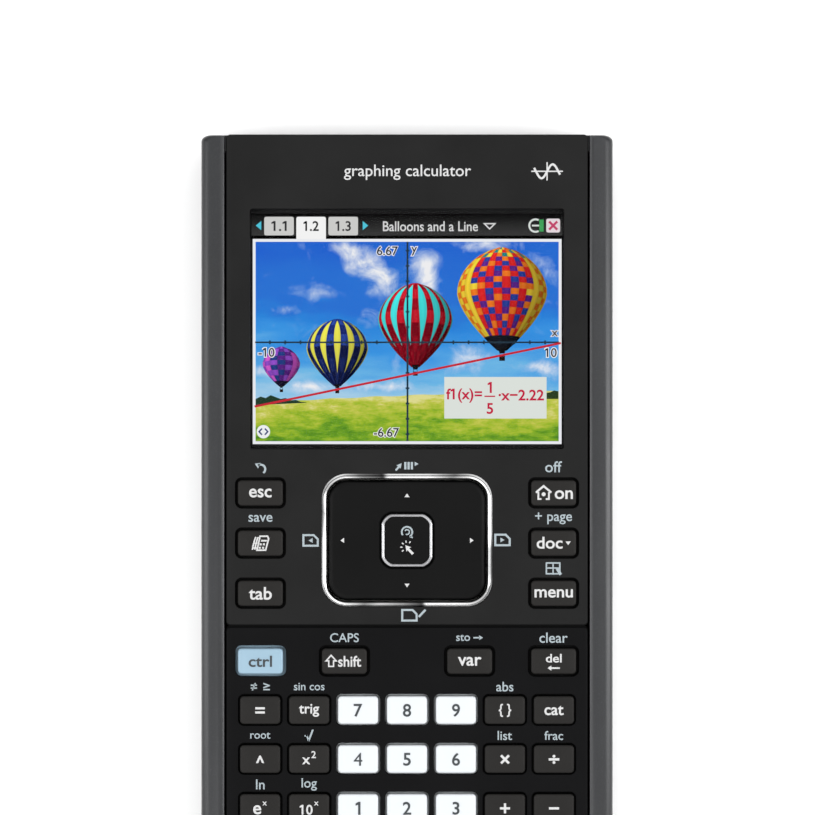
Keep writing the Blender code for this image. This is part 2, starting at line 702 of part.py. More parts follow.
def build_letter_rows():
    """Each row's caps are moulded on one thin carrier, and rock on it."""
    for name, y, caps in letter_rows():
        left = caps[0][0] - caps[0][1][0] / 2
        right = caps[-1][0] + caps[-1][1][0] / 2
        centre = (left + right) / 2
        web = rectangle(grown((right - left, LETTER_CAP[1]), LETTER_WEB), (centre, 0))
        row = object_of(
            name,
            lambda mesh, web=web: add_loft(mesh, prism(web, *KEY_FLANGE_Z)),
            "key_grey",
            (0.0, y, 0.0),
        )
        solids = []
        for x, cap in caps:
            base = rounded(cap, KEY_CORNER, LETTER_CORNER_STEPS, centre=(x, y))
            crown = (grown(cap, -KEY_EDGE), KEY_CORNER - KEY_EDGE / 2, LETTER_CORNER_STEPS)
            top = rounded(*crown, centre=(x, y))
            solids.append(
                [(base, KEY_FLANGE_Z[1] - GAP), (base, LETTER_TOP - KEY_EDGE), (top, LETTER_TOP)]
            )
        change(row, "UNION", "caps", *solids)


# Inside


def build_keypad_mat():
    """The silicone mat, with a post under each key that springs it back."""
    outline = notched(MAT_HALF_WIDTH, *MAT_Y, MAT_NOTCH, notch_top=False)
    mat = object_of(
        "keypad_mat", lambda mesh: add_loft(mesh, prism(outline, *MAT_Z)), "silicone"
    )
    places = [centre for _, centre, _, _ in single_keys()]
    places += [(x, y) for _, y, caps in letter_rows() for x, _ in caps]
    posts = [
        [
            (rectangle(POST_BASE, place), MAT_Z[1] - GAP),
            (rectangle(POST_TOP, place), POST_TOP_Z),
        ]
        for place in places
    ]
    change(mat, "UNION", "posts", *posts)


def build_board():
    outline = notched(BOARD_HALF_WIDTH, -BOARD_HALF_LENGTH, BOARD_HALF_LENGTH, BOARD_NOTCH)
    object_of(
        "main_board", lambda mesh: add_loft(mesh, prism(outline, *BOARD_Z)), "board_green"
    )


def build_battery():
    """The flat battery pack and the door that closes its bay."""
    pack = rounded(BATTERY_SIZE, 1.5 * MM, centre=(0, BAY_CENTRE_Y))
    object_of("battery", lambda mesh: add_loft(mesh, prism(pack, *BATTERY_Z)), "battery_wrap")
    lid = rounded(grown(DOOR_SIZE, -GAP), DOOR_CORNER - GAP, centre=(0, DOOR_CENTRE_Y))
    plug = rounded(grown(BAY_SIZE, -GAP), DOOR_CORNER - GAP, centre=(0, BAY_CENTRE_Y))
    rings = [
        (lid, BACK_Z),
        (lid, DOOR_LEDGE_Z - GAP),
        (plug, DOOR_LEDGE_Z - GAP),
        (plug, BATTERY_Z[0] - GAP),
    ]
    door = object_of("battery_door", lambda mesh: add_loft(mesh, rings), "rail_grey")
    sink_z = BACK_Z + DOOR_SCREW_SINK
    holes = [
        [
            (circle(DOOR_SCREW_HEAD_RADIUS + 0.2 * MM, place), BACK_Z - MM),
            (circle(DOOR_SCREW_HEAD_RADIUS + 0.2 * MM, place), sink_z),
            (circle(DOOR_SCREW_RADIUS, place), sink_z),
            (circle(DOOR_SCREW_RADIUS, place), DOOR_LEDGE_Z + MM),
        ]
        for place in corners(DOOR_SCREW_PLACE)
        if place[1] < 0
    ]
    change(door, "DIFFERENCE", "screw_holes", *holes)


def build_ports():
    """The charging socket at the display end and the dock contacts at the other end."""
    usb = build_port("usb_connector", USB_SIZE, USB_MOUTH, 1, "steel")
    tongue = rectangle(USB_TONGUE[:2], (0, PORT_FACE_Y - USB_SIZE[1] + USB_TONGUE[1] / 2 + GAP))
    middle_z = PORT_BOTTOM + USB_SIZE[2] / 2
    reach = USB_TONGUE[2] / 2
    change(usb, "UNION", "tongue", prism(tongue, middle_z - reach, middle_z + reach))
    build_port("dock_connector", DOCK_SIZE, DOCK_SLOT, -1, "cover_black")


def build_port(name, size, mouth, side, finish):
    """A block against one end wall (side 1 or -1) with a mouth cut in from its face."""
    width, depth, height = size
    block = rectangle((width, depth), (0, side * (PORT_FACE_Y - depth / 2)))
    z = (PORT_BOTTOM, PORT_BOTTOM + height)
    port = object_of(name, lambda mesh: add_loft(mesh, prism(block, *z)), finish)
    opening = rectangle((mouth[0], mouth[1] + MM), (0, side * (PORT_FACE_Y + (MM - mouth[1]) / 2)))
    middle_z = PORT_BOTTOM + height / 2
    mouth_z = (middle_z - mouth[2] / 2, middle_z + mouth[2] / 2)
    change(port, "DIFFERENCE", "mouth", prism(opening, *mouth_z))
    return port


def build_screws():
    """Four screws that go up through the rear cover's posts into the front cover's bosses."""
    for number, place in enumerate(corners(SCREW_PLACE), start=1):
        rings = [
            (circle(SCREW_HEAD_RADIUS), SCREW_HEAD_Z[0]),
            (circle(SCREW_HEAD_RADIUS), SCREW_HEAD_Z[1]),
            (circle(SCREW_RADIUS), SCREW_HEAD_Z[1]),
            (circle(SCREW_RADIUS), SCREW_TIP_Z),
        ]
        object_of(
            f"case_screw_{number}",
            lambda mesh, rings=rings: add_loft(mesh, rings),
            "steel",
            (*place, 0.0),
        )


def build_reset_button():
    """A pin that is pushed in from the back. Its flange keeps it in the case."""
    flange_bottom = FLOOR_Z + GAP
    flange_top = flange_bottom + 0.9 * MM
    rings = [
        (circle(RESET_RADIUS), BACK_Z + 0.6 * MM),
        (circle(RESET_RADIUS), flange_bottom),
        (circle(RESET_FLANGE_RADIUS), flange_bottom),
        (circle(RESET_FLANGE_RADIUS), flange_top),
        (circle(RESET_RADIUS), flange_top),
        (circle(RESET_RADIUS), flange_top + 1.4 * MM),
    ]
    object_of(
        "reset_button",
        lambda mesh: add_loft(mesh, rings),
        "key_grey",
        (*RESET_PLACE, 0.0),
    )


def main():
    for old in list(bpy.data.objects):
        bpy.data.objects.remove(old)
    build_rear_cover()
    build_front_cover()
    build_display()
    build_touchpad()
    build_single_keys()
    build_letter_rows()
    build_keypad_mat()
    build_board()
    build_battery()
    build_ports()
    build_screws()
    build_reset_button()


main()
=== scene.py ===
"""The looks of a handheld graphing calculator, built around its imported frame.

Places come from the frame and from the few sizes below, in metres. The calculator lies on its back:
+X is right, +Y is towards the display and +Z is up out of the keys.
"""

from math import ceil, copysign, cos, pi, radians, sin, sqrt

import bmesh
import bpy
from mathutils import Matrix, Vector


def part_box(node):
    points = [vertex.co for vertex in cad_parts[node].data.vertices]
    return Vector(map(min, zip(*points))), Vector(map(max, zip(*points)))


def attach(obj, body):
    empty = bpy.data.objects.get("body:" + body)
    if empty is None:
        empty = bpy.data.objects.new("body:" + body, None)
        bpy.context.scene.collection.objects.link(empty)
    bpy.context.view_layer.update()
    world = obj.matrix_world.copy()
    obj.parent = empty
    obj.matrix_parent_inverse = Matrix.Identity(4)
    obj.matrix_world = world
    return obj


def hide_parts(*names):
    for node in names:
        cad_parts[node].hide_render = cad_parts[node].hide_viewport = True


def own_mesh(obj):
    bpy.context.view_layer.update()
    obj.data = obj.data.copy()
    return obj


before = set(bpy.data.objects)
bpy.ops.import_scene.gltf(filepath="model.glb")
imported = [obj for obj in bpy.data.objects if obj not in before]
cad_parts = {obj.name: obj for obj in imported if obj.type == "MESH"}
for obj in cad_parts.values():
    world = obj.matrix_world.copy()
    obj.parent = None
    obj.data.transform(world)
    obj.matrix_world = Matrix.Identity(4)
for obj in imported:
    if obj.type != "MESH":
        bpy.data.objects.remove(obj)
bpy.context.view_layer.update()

MM = 0.001
CASE_LOW, CASE_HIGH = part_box("rear_cover")
PLATE_LOW, PLATE_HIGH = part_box("front_cover")
LCD_LOW, LCD_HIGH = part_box("lcd_module")
PAD_LOW, PAD_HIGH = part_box("touchpad_plate")
MAT_LOW, MAT_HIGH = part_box("keypad_mat")

# Case
CASE_SIZE = (CASE_HIGH.x - CASE_LOW.x, CASE_HIGH.y - CASE_LOW.y)
CASE_CORNER = (2.2 * MM, 1.3 * MM)
RAIL_TOP = CASE_HIGH.z
RAIL_ROUND = 1.7 * MM
RAIL_END_ROUND = 0.55 * MM
RAIL_INNER = 38.15 * MM
RAIL_BEVEL = 0.65 * MM
BACK_Z = 0.5 * MM
FLOOR_Z = 2.0 * MM
BELLY = (7.0 * MM, 2.5 * MM, 6.5 * MM)
END_WALL_INNER = 93.3 * MM
END_WALL_TOP = 13.1 * MM
FOOT_SIZE = (14.0 * MM, 5.0 * MM)
FOOT_PLACE = (20.0 * MM, 87.0 * MM)
PORT_Z = 7.8 * MM
FOOT_ROUND = 0.35 * MM
LABEL_SIZE = (51.0 * MM, 19.0 * MM)
LABEL_CENTRE = (0.0, 34.0 * MM)
DOOR_SCREWS = ((-14.0 * MM, -19.0 * MM), (14.0 * MM, -19.0 * MM))
TONGUE_SIZE = (4.8 * MM, 1.1 * MM)

# Front
PLATE_HALF = PLATE_HIGH.x - 0.15 * MM
PLATE_TOP = PLATE_HIGH.z
PLATE_BOTTOM = END_WALL_TOP + 0.3 * MM
DECK_TOP = PLATE_TOP - 0.3 * MM
SEAM_Y = -7.0 * MM
SEAM_HALF = 0.27 * MM
SEAM_DEPTH = 0.7 * MM
EDGE_ROUND = 0.22 * MM
RIM_CHAMFER = 0.06 * MM

# Display
SCREEN_CENTRE = (0.0, (LCD_LOW.y + LCD_HIGH.y) / 2)
SCREEN_HALF = (32.55 * MM, 24.2 * MM)
WINDOW_MARGIN = (0.2 * MM, 0.85 * MM)
SCREEN_Z = LCD_HIGH.z - 0.25 * MM
LAYER = 0.03 * MM  # between one layer of the picture and the next

# Touchpad
PAD_CENTRE = (0.0, (PAD_LOW.y + PAD_HIGH.y) / 2)
PAD_SIZE = (PAD_HIGH.x - PAD_LOW.x, PAD_HIGH.y - PAD_LOW.y)
PAD_TOP = PAD_HIGH.z
PAD_CORNER = 3.95 * MM
PAD_DROP = 0.75 * MM
PAD_ROLL = 1.2 * MM
PAD_INSET = 0.05 * MM
RING_SIZE = (35.5 * MM, 27.6 * MM)
RING_CORNER = 5.2 * MM
RING_WALL = 0.95 * MM
RING_INSET = (0.28 * MM, 0.03 * MM)
RING_TOP = 15.4 * MM
RING_FLANGE = 1.2 * MM
RING_FLANGE_Z = (12.0 * MM, 13.1 * MM)
BUTTON_SIZE = (10.6 * MM, 11.0 * MM)
BUTTON_CORNER = 2.05 * MM
BUTTON_TRIM = 0.62 * MM
BUTTON_TOP = 15.3 * MM
BUTTON_FLANGE = 1.0 * MM
BUTTON_FLANGE_Z = (12.0 * MM, 12.9 * MM)

# Keys
KEY_TOP = 15.7 * MM
KEY_FLANGE_Z = (12.0 * MM, 12.9 * MM)
KEY_CORNER = 0.8 * MM
KEY_EDGE = 0.38 * MM
KEY_CROWN = 0.22 * MM
KEY_FLANGE_LAP = 0.3 * MM
SIDE_CAP = (9.4 * MM, 5.3 * MM)
SIDE_GAP = 0.6 * MM
MAIN_CAP = (8.4 * MM, 5.8 * MM)
MAIN_GAP = 0.4 * MM
ENTER_CAP = (18.6 * MM, 5.8 * MM)
LETTER_TOP = 15.4 * MM
LETTER_CAP = (5.9 * MM, 4.4 * MM)
LETTER_GAP = 0.35 * MM
LETTER_CORNER = 1.5 * MM
LETTER_PITCH = 7.65 * MM
LETTER_WEB = 0.6 * MM
SPACE_CAP = (13.55 * MM, 4.4 * MM)

# Keypad mat
MAT_SHEET_TOP = 9.3 * MM
MAT_NOTCH = (6.4 * MM, 7.0 * MM)
POST_BASE = (4.2 * MM, 3.2 * MM)
POST_TIP = (3.4 * MM, 2.4 * MM)
POST_FOOT = MAT_SHEET_TOP - 0.2 * MM

INK = 0.025 * MM  # the thickness of a printed mark

# Studio
LAMPS = (  # name, place, size, watts
    ("key_lamp", (-0.35, -0.6, 1.0), (0.8, 0.8), 3.6),
    ("fill_lamp", (0.4, 0.6, 0.95), (0.8, 0.8), 1.6),
    ("left_strip", (-0.62, 0.0, 0.5), (0.26, 0.9), 3.4),
    ("right_strip", (0.62, 0.0, 0.5), (0.26, 0.9), 5.0),
)
CAMERA_LENS = 120.0
CAMERA_SENSOR = 36.0
VIEW_WIDTH = 169.9 * MM
VIEW_CENTRE = (0.1 * MM, 38.56 * MM)


def srgb(red, green, blue):
    """A linear colour from display values of 0 to 255."""
    values = [value / 255 for value in (red, green, blue)]
    linear = [v / 12.92 if v <= 0.04045 else ((v + 0.055) / 1.055) ** 2.4 for v in values]
    return (*linear, 1.0)


def grey(value):
    return (value, value, value, 1.0)


def scaled(colour, factor):
    return (*(min(1.0, channel * factor) for channel in colour[:3]), 1.0)


WHITE_INK = srgb(184, 184, 184)
DARK_INK = srgb(40, 46, 50)
SECOND_INK = srgb(144, 155, 160)


# Materials


def add(tree, kind, inputs=None, **settings):
    """A node of that kind. An input is a value, or the socket that feeds it."""
    node = tree.nodes.new(kind)
    for name, value in settings.items():
        setattr(node, name, value)
    for socket, value in (inputs or {}).items():
        if isinstance(value, bpy.types.NodeSocket):
            tree.links.new(value, node.inputs[socket])
        else:
            node.inputs[socket].default_value = value
    return node


def new_material(name, inputs=None):
    """A material, its node tree, its Principled shader and where on the object a point lies."""
    made = bpy.data.materials.new(name)
    made.use_nodes = True
    tree = made.node_tree
    shader = tree.nodes["Principled BSDF"]
    for socket, value in (inputs or {}).items():
        shader.inputs[socket].default_value = value
    return made, tree, shader, add(tree, "ShaderNodeTexCoord").outputs["Object"]


def feed(tree, shader, sources):
    """Links each named socket of the shader to its source."""
    for socket, source in sources.items():
        tree.links.new(source, shader.inputs[socket])


def ramp(tree, value, stops):
    """A colour ramp through stops, each (position, colour)."""
    node = add(tree, "ShaderNodeValToRGB", {"Fac": value})
    elements = node.color_ramp.elements
    elements[0].position, elements[0].color = stops[0]
    elements[1].position, elements[1].color = stops[-1]
    for position, colour in stops[1:-1]:
        elements.new(position).color = colour
    return node.outputs["Color"]


def noise(tree, place, scale, detail, more=None):
    inputs = {"Vector": place, "Scale": scale, "Detail": detail, **(more or {})}
    return add(tree, "ShaderNodeTexNoise", inputs).outputs["Fac"]


def spread(tree, value, source, target=(0.0, 1.0)):
    """A value, its range stretched from source to target."""
    inputs = {"Value": value, "From Min": source[0], "From Max": source[1]}
    inputs.update({"To Min": target[0], "To Max": target[1]})
    return add(tree, "ShaderNodeMapRange", inputs).outputs["Result"]


def weighted_sum(tree, value, weight, rest):
    inputs = {0: value, 1: weight, 2: rest}
    return add(tree, "ShaderNodeMath", inputs, operation="MULTIPLY_ADD").outputs["Value"]


def multiplied(tree, first, second):
    """One colour times another."""
    mix = add(tree, "ShaderNodeMix", {0: 1.0, 6: first, 7: second}, data_type="RGBA", blend_type="MULTIPLY")
    return mix.outputs[2]


def mapped(tree, place, inputs):
    return add(tree, "ShaderNodeMapping", {"Vector": place, **inputs}).outputs["Vector"]


def part_of(tree, vector, axis):
    return add(tree, "ShaderNodeSeparateXYZ", {"Vector": vector}).outputs[axis]


def bump(tree, height, strength, depth):
    """Normals of a relief that is depth mm deep."""
    inputs = {"Height": height, "Strength": strength, "Distance": depth * MM}
    return add(tree, "ShaderNodeBump", inputs).outputs["Normal"]


def plastic(name, colour, roughness, grain=0.22, depth=0.006, mottle=0.12, specular=0.5, painted_shade_below=None):
    """Moulded plastic: a fine sparked grain, and slow changes of tone and gloss.

    Below a height, if one is given, it is painted darker: painted shade on the walls of holes and narrow
    gaps.
    """
    made, tree, shader, place = new_material(name, {"Specular IOR Level": specular})
    slow, fine = noise(tree, place, 70.0, 4.0), noise(tree, place, 1 / (grain * MM), 3.0)
    tone = ramp(tree, slow, [(0.3, scaled(colour, 1 - mottle)), (0.7, scaled(colour, 1 + mottle))])
    # Painted shade: under the given height the tone drops to a tenth, in place of the shade in narrow gaps.
    if painted_shade_below is not None:
        painted_shade_mask = spread(tree, part_of(tree, place, "Z"), (painted_shade_below - 0.08 * MM, painted_shade_below))
        tone = multiplied(tree, tone, ramp(tree, painted_shade_mask, [(0.0, grey(0.1)), (1.0, grey(1.0))]))
    gloss = spread(tree, fine, (0.3, 0.7), (roughness - 0.05, roughness + 0.05))
    feed(tree, shader, {"Base Color": tone, "Roughness": gloss, "Normal": bump(tree, fine, 1.0, depth)})
    return made


def rail_paint():
    """Grey paint with a fine metallic fleck."""
    made, tree, shader, place = new_material("rail_paint", {"Metallic": 0.25})
    fleck = add(tree, "ShaderNodeTexVoronoi", {"Vector": place, "Scale": 7000.0}).outputs
    slow = noise(tree, place, 60.0, 3.0)
    greys = [(0.0, srgb(36, 37, 39)), (0.75, srgb(41, 42, 44)), (1.0, srgb(56, 57, 60))]
    sparkle, tone = ramp(tree, fleck["Color"], greys), ramp(tree, slow, [(0.3, grey(0.9)), (0.7, grey(1.0))])
    gloss, relief = spread(tree, slow, (0.3, 0.7), (0.3, 0.36)), bump(tree, fleck["Distance"], 0.5, 0.002)
    tone = multiplied(tree, sparkle, tone)
    feed(tree, shader, {"Base Color": tone, "Roughness": gloss, "Normal": relief})
    return made


def plated(name, colour, roughness):
    """Bright plating with faint polishing marks."""
    made, tree, shader, place = new_material(name, {"Metallic": 1.0})
    marks = noise(tree, place, 900.0, 4.0)
    gloss = spread(tree, marks, (0.3, 0.7), (roughness, roughness + 0.1))
    tone = ramp(tree, marks, [(0.3, scaled(colour, 0.92)), (0.7, colour)])
    feed(tree, shader, {"Base Color": tone, "Roughness": gloss})
    return made


def ring_plating_painted_reflections():
    """Polished plating with painted reflections: bright and dark bands painted into its colour drift round
    the touchpad.
    """
    made, tree, shader, place = new_material("ring_plating_painted_reflections", {"Metallic": 1.0})
    around = mapped(tree, place, {"Location": (-PAD_CENTRE[0], -PAD_CENTRE[1], 0.0)})
    turn = add(tree, "ShaderNodeTexGradient", {"Vector": around}, gradient_type="RADIAL").outputs["Fac"]
    # Painted reflections: these greys stand for reflections painted into the metal's base colour.
    bright, light, middle, dim = grey(0.95), grey(0.55), grey(0.22), grey(0.04)
    # The turn runs anticlockwise from the left: 0.25 is below, 0.5 is right and 0.75 is above.
    stops = [(0.0, bright), (0.12, bright), (0.155, middle), (0.185, light), (0.25, middle), (0.288, dim)]
    stops += [(0.297, bright), (0.36, bright), (0.41, light), (0.44, middle), (0.485, middle)]
    stops += [(0.51, bright)]
    stops += [(0.615, bright), (0.65, middle), (0.70, bright), (0.795, bright), (0.806, dim), (0.85, middle)]
    stops += [(0.88, bright), (0.91, light), (0.95, middle), (0.985, light), (1.0, bright)]
    gloss = spread(tree, noise(tree, place, 900.0, 4.0), (0.3, 0.7), (0.1, 0.2))
    feed(tree, shader, {"Base Color": ramp(tree, turn, stops), "Roughness": gloss})
    return made


def clear_lens():
    """A clear window with a hard gloss. It only adds a reflection."""
    inputs = {"Base Color": grey(0.0), "Alpha": 0.06, "IOR": 1.45}
    made, tree, shader, place = new_material("clear_lens", inputs)
    feed(tree, shader, {"Roughness": spread(tree, noise(tree, place, 40.0, 5.0), (0.4, 0.8), (0.02, 0.08))})
    return made


def printed():
    """Matt printing ink that takes its colours from the mesh's ink."""
    made, tree, shader, place = new_material("printed_ink", {"Roughness": 0.55})
    ink = add(tree, "ShaderNodeVertexColor", layer_name="ink").outputs["Color"]
    wear = ramp(tree, noise(tree, place, 2500.0, 3.0), [(0.25, grey(0.88)), (0.5, grey(1.0))])
    feed(tree, shader, {"Base Color": multiplied(tree, ink, wear)})
    return made


# What glows and reflects nothing
LIT = {"Base Color": grey(0.0), "Specular IOR Level": 0.0, "Emission Strength": 1.0}


def glowing(name):
    """A lit picture layer that takes its colours from the mesh's ink."""
    made, tree, shader, _ = new_material(name, {**LIT, "Roughness": 0.9})
    ink = add(tree, "ShaderNodeVertexColor", layer_name="ink").outputs["Color"]
    feed(tree, shader, {"Emission Color": ink})
    return made


# Drifts of cloud on the screen: middle x and y, reach in x and y (mm from the screen's middle), and weight.
CLOUDS = (
    (-13.0, 17.0, 5.0, 3.0, 0.36),
    (-9.0, 14.0, 5.5, 4.0, 0.42),
    (-5.0, 10.0, 5.5, 5.0, 0.42),
    (3.5, 13.5, 5.5, 4.5, 0.42),
    (5.0, 9.0, 4.0, 4.0, 0.34),
    (-18.0, 7.5, 12.0, 2.0, 0.2),
    (-25.0, 4.0, 8.0, 1.6, 0.16),
    (17.0, 18.0, 10.0, 2.4, 0.42),
    (29.5, 12.0, 4.0, 5.0, 0.28),
    (13.0, -6.0, 6.0, 4.5, 0.34),
    (28.0, -8.0, 7.0, 2.4, 0.36),
    (-29.0, -9.0, 7.0, 2.0, 0.3),
    (-21.0, -12.0, 9.0, 2.2, 0.44),
    (-5.0, -12.0, 13.0, 2.4, 0.42),
)


def sky():
    """A lit sky that pales towards the horizon, streaked with azure, with drifts of cloud."""
    made, tree, shader, place = new_material("screen_sky", LIT)
    foot, top = SCREEN_CENTRE[1] - 15 * MM, SCREEN_CENTRE[1] + 18 * MM
    height = spread(tree, part_of(tree, place, "Y"), (foot, top))
    slant = mapped(tree, place, {"Rotation": (0, 0, 0.35), "Scale": (0.35, 1.4, 1.0)})
    lowered = weighted_sum(tree, noise(tree, slant, 130.0, 5.0, {"Roughness": 0.55}), 0.75, height)
    blues = [(0.3, srgb(176, 216, 242)), (0.5, srgb(116, 192, 240)), (0.72, srgb(62, 156, 236))]
    blue = ramp(tree, lowered, blues + [(0.9, srgb(46, 138, 228)), (1.0, srgb(44, 118, 220))])
    deep = ramp(tree, spread(tree, lowered, (1.1, 1.5)), [(0.0, grey(1.0)), (1.0, (0.62, 0.66, 0.95, 1))])
    blue = multiplied(tree, blue, deep)
    total = noise(tree, place, 150.0, 8.0, {"Roughness": 0.62, "Distortion": 0.5})
    for x, y, reach_x, reach_y, weight in CLOUDS:
        middle, scale = on_screen(x, y), (1 / (reach_x * MM), 1 / (reach_y * MM), 0.0)
        shift = (-middle[0] / (reach_x * MM), -middle[1] / (reach_y * MM), 0.0)
        near = mapped(tree, place, {"Location": shift, "Scale": scale})
        blob = add(tree, "ShaderNodeTexGradient", {"Vector": near}, gradient_type="SPHERICAL").outputs["Fac"]
        total = weighted_sum(tree, blob, weight, total)
    whites = [(0.66, srgb(176, 208, 244)), (0.8, srgb(222, 234, 250)), (0.95, srgb(250, 250, 252))]
    cover, shade = spread(tree, total, (0.58, 0.92)), ramp(tree, total, whites)
    mix = add(tree, "ShaderNodeMix", data_type="RGBA")
    feed(tree, mix, {0: cover, 6: blue, 7: shade})
    feed(tree, shader, {"Emission Color": mix.outputs[2]})
    return made


def meadow():
    """A lit field: yellow-green near the horizon, deeper green in tufts towards the front."""
    made, tree, shader, place = new_material("screen_meadow", LIT)
    flat = mapped(tree, place, {"Scale": (0.35, 1.0, 1.0)})
    tufts, slow = noise(tree, flat, 700.0, 6.0, {"Roughness": 0.7}), noise(tree, flat, 160.0, 3.0)
    far, front = SCREEN_CENTRE[1] - 14 * MM, SCREEN_CENTRE[1] - 24 * MM
    near = spread(tree, part_of(tree, place, "Y"), (far, front), (-0.2, 0.12))
    total = weighted_sum(tree, slow, 0.5, weighted_sum(tree, tufts, 0.95, near))
    greens = [(0.42, srgb(232, 228, 150)), (0.54, srgb(204, 208, 84)), (0.68, srgb(166, 194, 52))]
    colour = ramp(tree, total, greens + [(0.82, srgb(118, 170, 42)), (1.0, srgb(34, 112, 32))])
    feed(tree, shader, {"Emission Color": colour})
    return made


def floor_material():
    inputs = {"Roughness": 0.9, "Specular IOR Level": 0.1}
    made, tree, shader, place = new_material("studio_floor", inputs)
    tone = ramp(tree, noise(tree, place, 3.0, 2.0), [(0.3, grey(0.94)), (0.7, grey(0.96))])
    feed(tree, shader, {"Base Color": tone})
    return made


# Outlines and solids


def rounded(size, corner, steps=8, centre=(0.0, 0.0), power=2.0):
    """Points of a rounded rectangle, anticlockwise. A corner may be (reach in X, reach in Y).

    A power below 2 flattens the corners.
    """
    reach_x, reach_y = corner if isinstance(corner, tuple) else (corner, corner)
    half_x, half_y = size[0] / 2 - reach_x, size[1] / 2 - reach_y
    points = []
    for quarter, (side_x, side_y) in enumerate(((1, 1), (-1, 1), (-1, -1), (1, -1))):
        for step in range(steps + 1):
            angle = (quarter + step / steps) * pi / 2
            across, along = (copysign(abs(part) ** (2 / power), part) for part in (cos(angle), sin(angle)))
            x = centre[0] + side_x * half_x + reach_x * across
            points.append((x, centre[1] + side_y * half_y + reach_y * along))
    return points


def circle(radius, centre=(0.0, 0.0), steps=32):
    angles = [2 * pi * step / steps for step in range(steps)]
    return [(centre[0] + radius * cos(a), centre[1] + radius * sin(a)) for a in angles]


def rectangle(size, centre=(0.0, 0.0)):
    signs = ((1, 1), (-1, 1), (-1, -1), (1, -1))
    return [(centre[0] + x * size[0] / 2, centre[1] + y * size[1] / 2) for x, y in signs]


def grown(size, margin):
    return (size[0] + 2 * margin, size[1] + 2 * margin)


def corners(place):
    return [(x * place[0], y * place[1]) for x in (-1, 1) for y in (-1, 1)]


def prism(outline, low, high):
    """Rings of a straight solid."""
    return [(outline, low), (outline, high)]


def quarter_turn(steps):
    """At each step of a quarter turn, 1 - sin (what is left of a rise) and 1 - cos (how far it bent)."""
    angles = [step * pi / 2 / steps for step in range(steps + 1)]
    return [(1 - sin(angle), 1 - cos(angle)) for angle in angles]


def size_of(node):
    low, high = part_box(node)
    return (high.x - low.x, high.y - low.y)


def add_loops(mesh, rings):
    """Vertices for each ring, given as (points, z) or as 3D points."""
    loops = []
    for ring in rings:
        if isinstance(ring, tuple):
            points, z = ring
            ring = [(x, y, z) for x, y in points]
        loops.append([mesh.verts.new(point) for point in ring])
    return loops


def bridge(mesh, lower, upper):
    for here in range(len(lower)):
        after = (here + 1) % len(lower)
        mesh.faces.new((lower[here], lower[after], upper[after], upper[here]))


def add_loft(mesh, rings):
    """A closed solid through rings of equally many points, going up."""
    loops = add_loops(mesh, rings)
    for lower, upper in zip(loops, loops[1:]):
        bridge(mesh, lower, upper)
    mesh.faces.new(reversed(loops[0]))
    mesh.faces.new(loops[-1])


def add_hoop(mesh, rings):
    """A closed hoop, such as a trim ring: the last ring joins the first."""
    loops = add_loops(mesh, rings)
    for lower, upper in zip(loops, loops[1:] + loops[:1]):
        bridge(mesh, lower, upper)


def object_of(name, build, material, location=(0.0, 0.0, 0.0), sharp=35.0):
    """A named object whose mesh is filled by build(mesh), smooth but for its sharp edges."""
    mesh = bmesh.new()
    build(mesh)
    bmesh.ops.recalc_face_normals(mesh, faces=mesh.faces)
    data = bpy.data.meshes.new(name)
    mesh.to_mesh(data)
    mesh.free()
    data.materials.append(material)
    data.shade_smooth()
    data.set_sharp_from_angle(angle=radians(sharp))
    made = bpy.data.objects.new(name, data)
    made.location = location
    bpy.context.scene.collection.objects.link(made)
    return made


def cut(target, *solids):
    """Takes solids out of the target, each a list of loft rings."""
    helper = lofted(target.name + "_helper", solids, target.data.materials[0])
    modifier = target.modifiers.new("cut", "BOOLEAN")
    modifier.operation = "DIFFERENCE"
    modifier.solver = "EXACT"
    modifier.object = helper
    bpy.context.view_layer.update()
    graph = bpy.context.evaluated_depsgraph_get()
    result = bpy.data.meshes.new_from_object(target.evaluated_get(graph))
    target.modifiers.remove(modifier)
    old = target.data
    target.data = result
    bpy.data.meshes.remove(old)
    bpy.data.objects.remove(helper)
    target.data.shade_smooth()
    target.data.set_sharp_from_angle(angle=radians(35))


def soften(target, width):
    """Rounds the edges that the Booleans left sharp."""
    mesh = bmesh.new()
    mesh.from_mesh(target.data)
    bmesh.ops.dissolve_limit(mesh, angle_limit=radians(1), verts=mesh.verts, edges=mesh.edges)
    mesh.to_mesh(target.data)
    mesh.free()
    modifier = target.modifiers.new("soften", "BEVEL")
    modifier.width = width
    modifier.segments = 2
    modifier.limit_method = "ANGLE"
    modifier.angle_limit = radians(40)
    modifier.harden_normals = True


def finish_piece(piece, body, slot, *nodes):
    """Makes a piece ride on its body, and stand for those CAD nodes."""
    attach(piece, body)
    if nodes:
        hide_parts(*nodes)
    return piece


# Printing


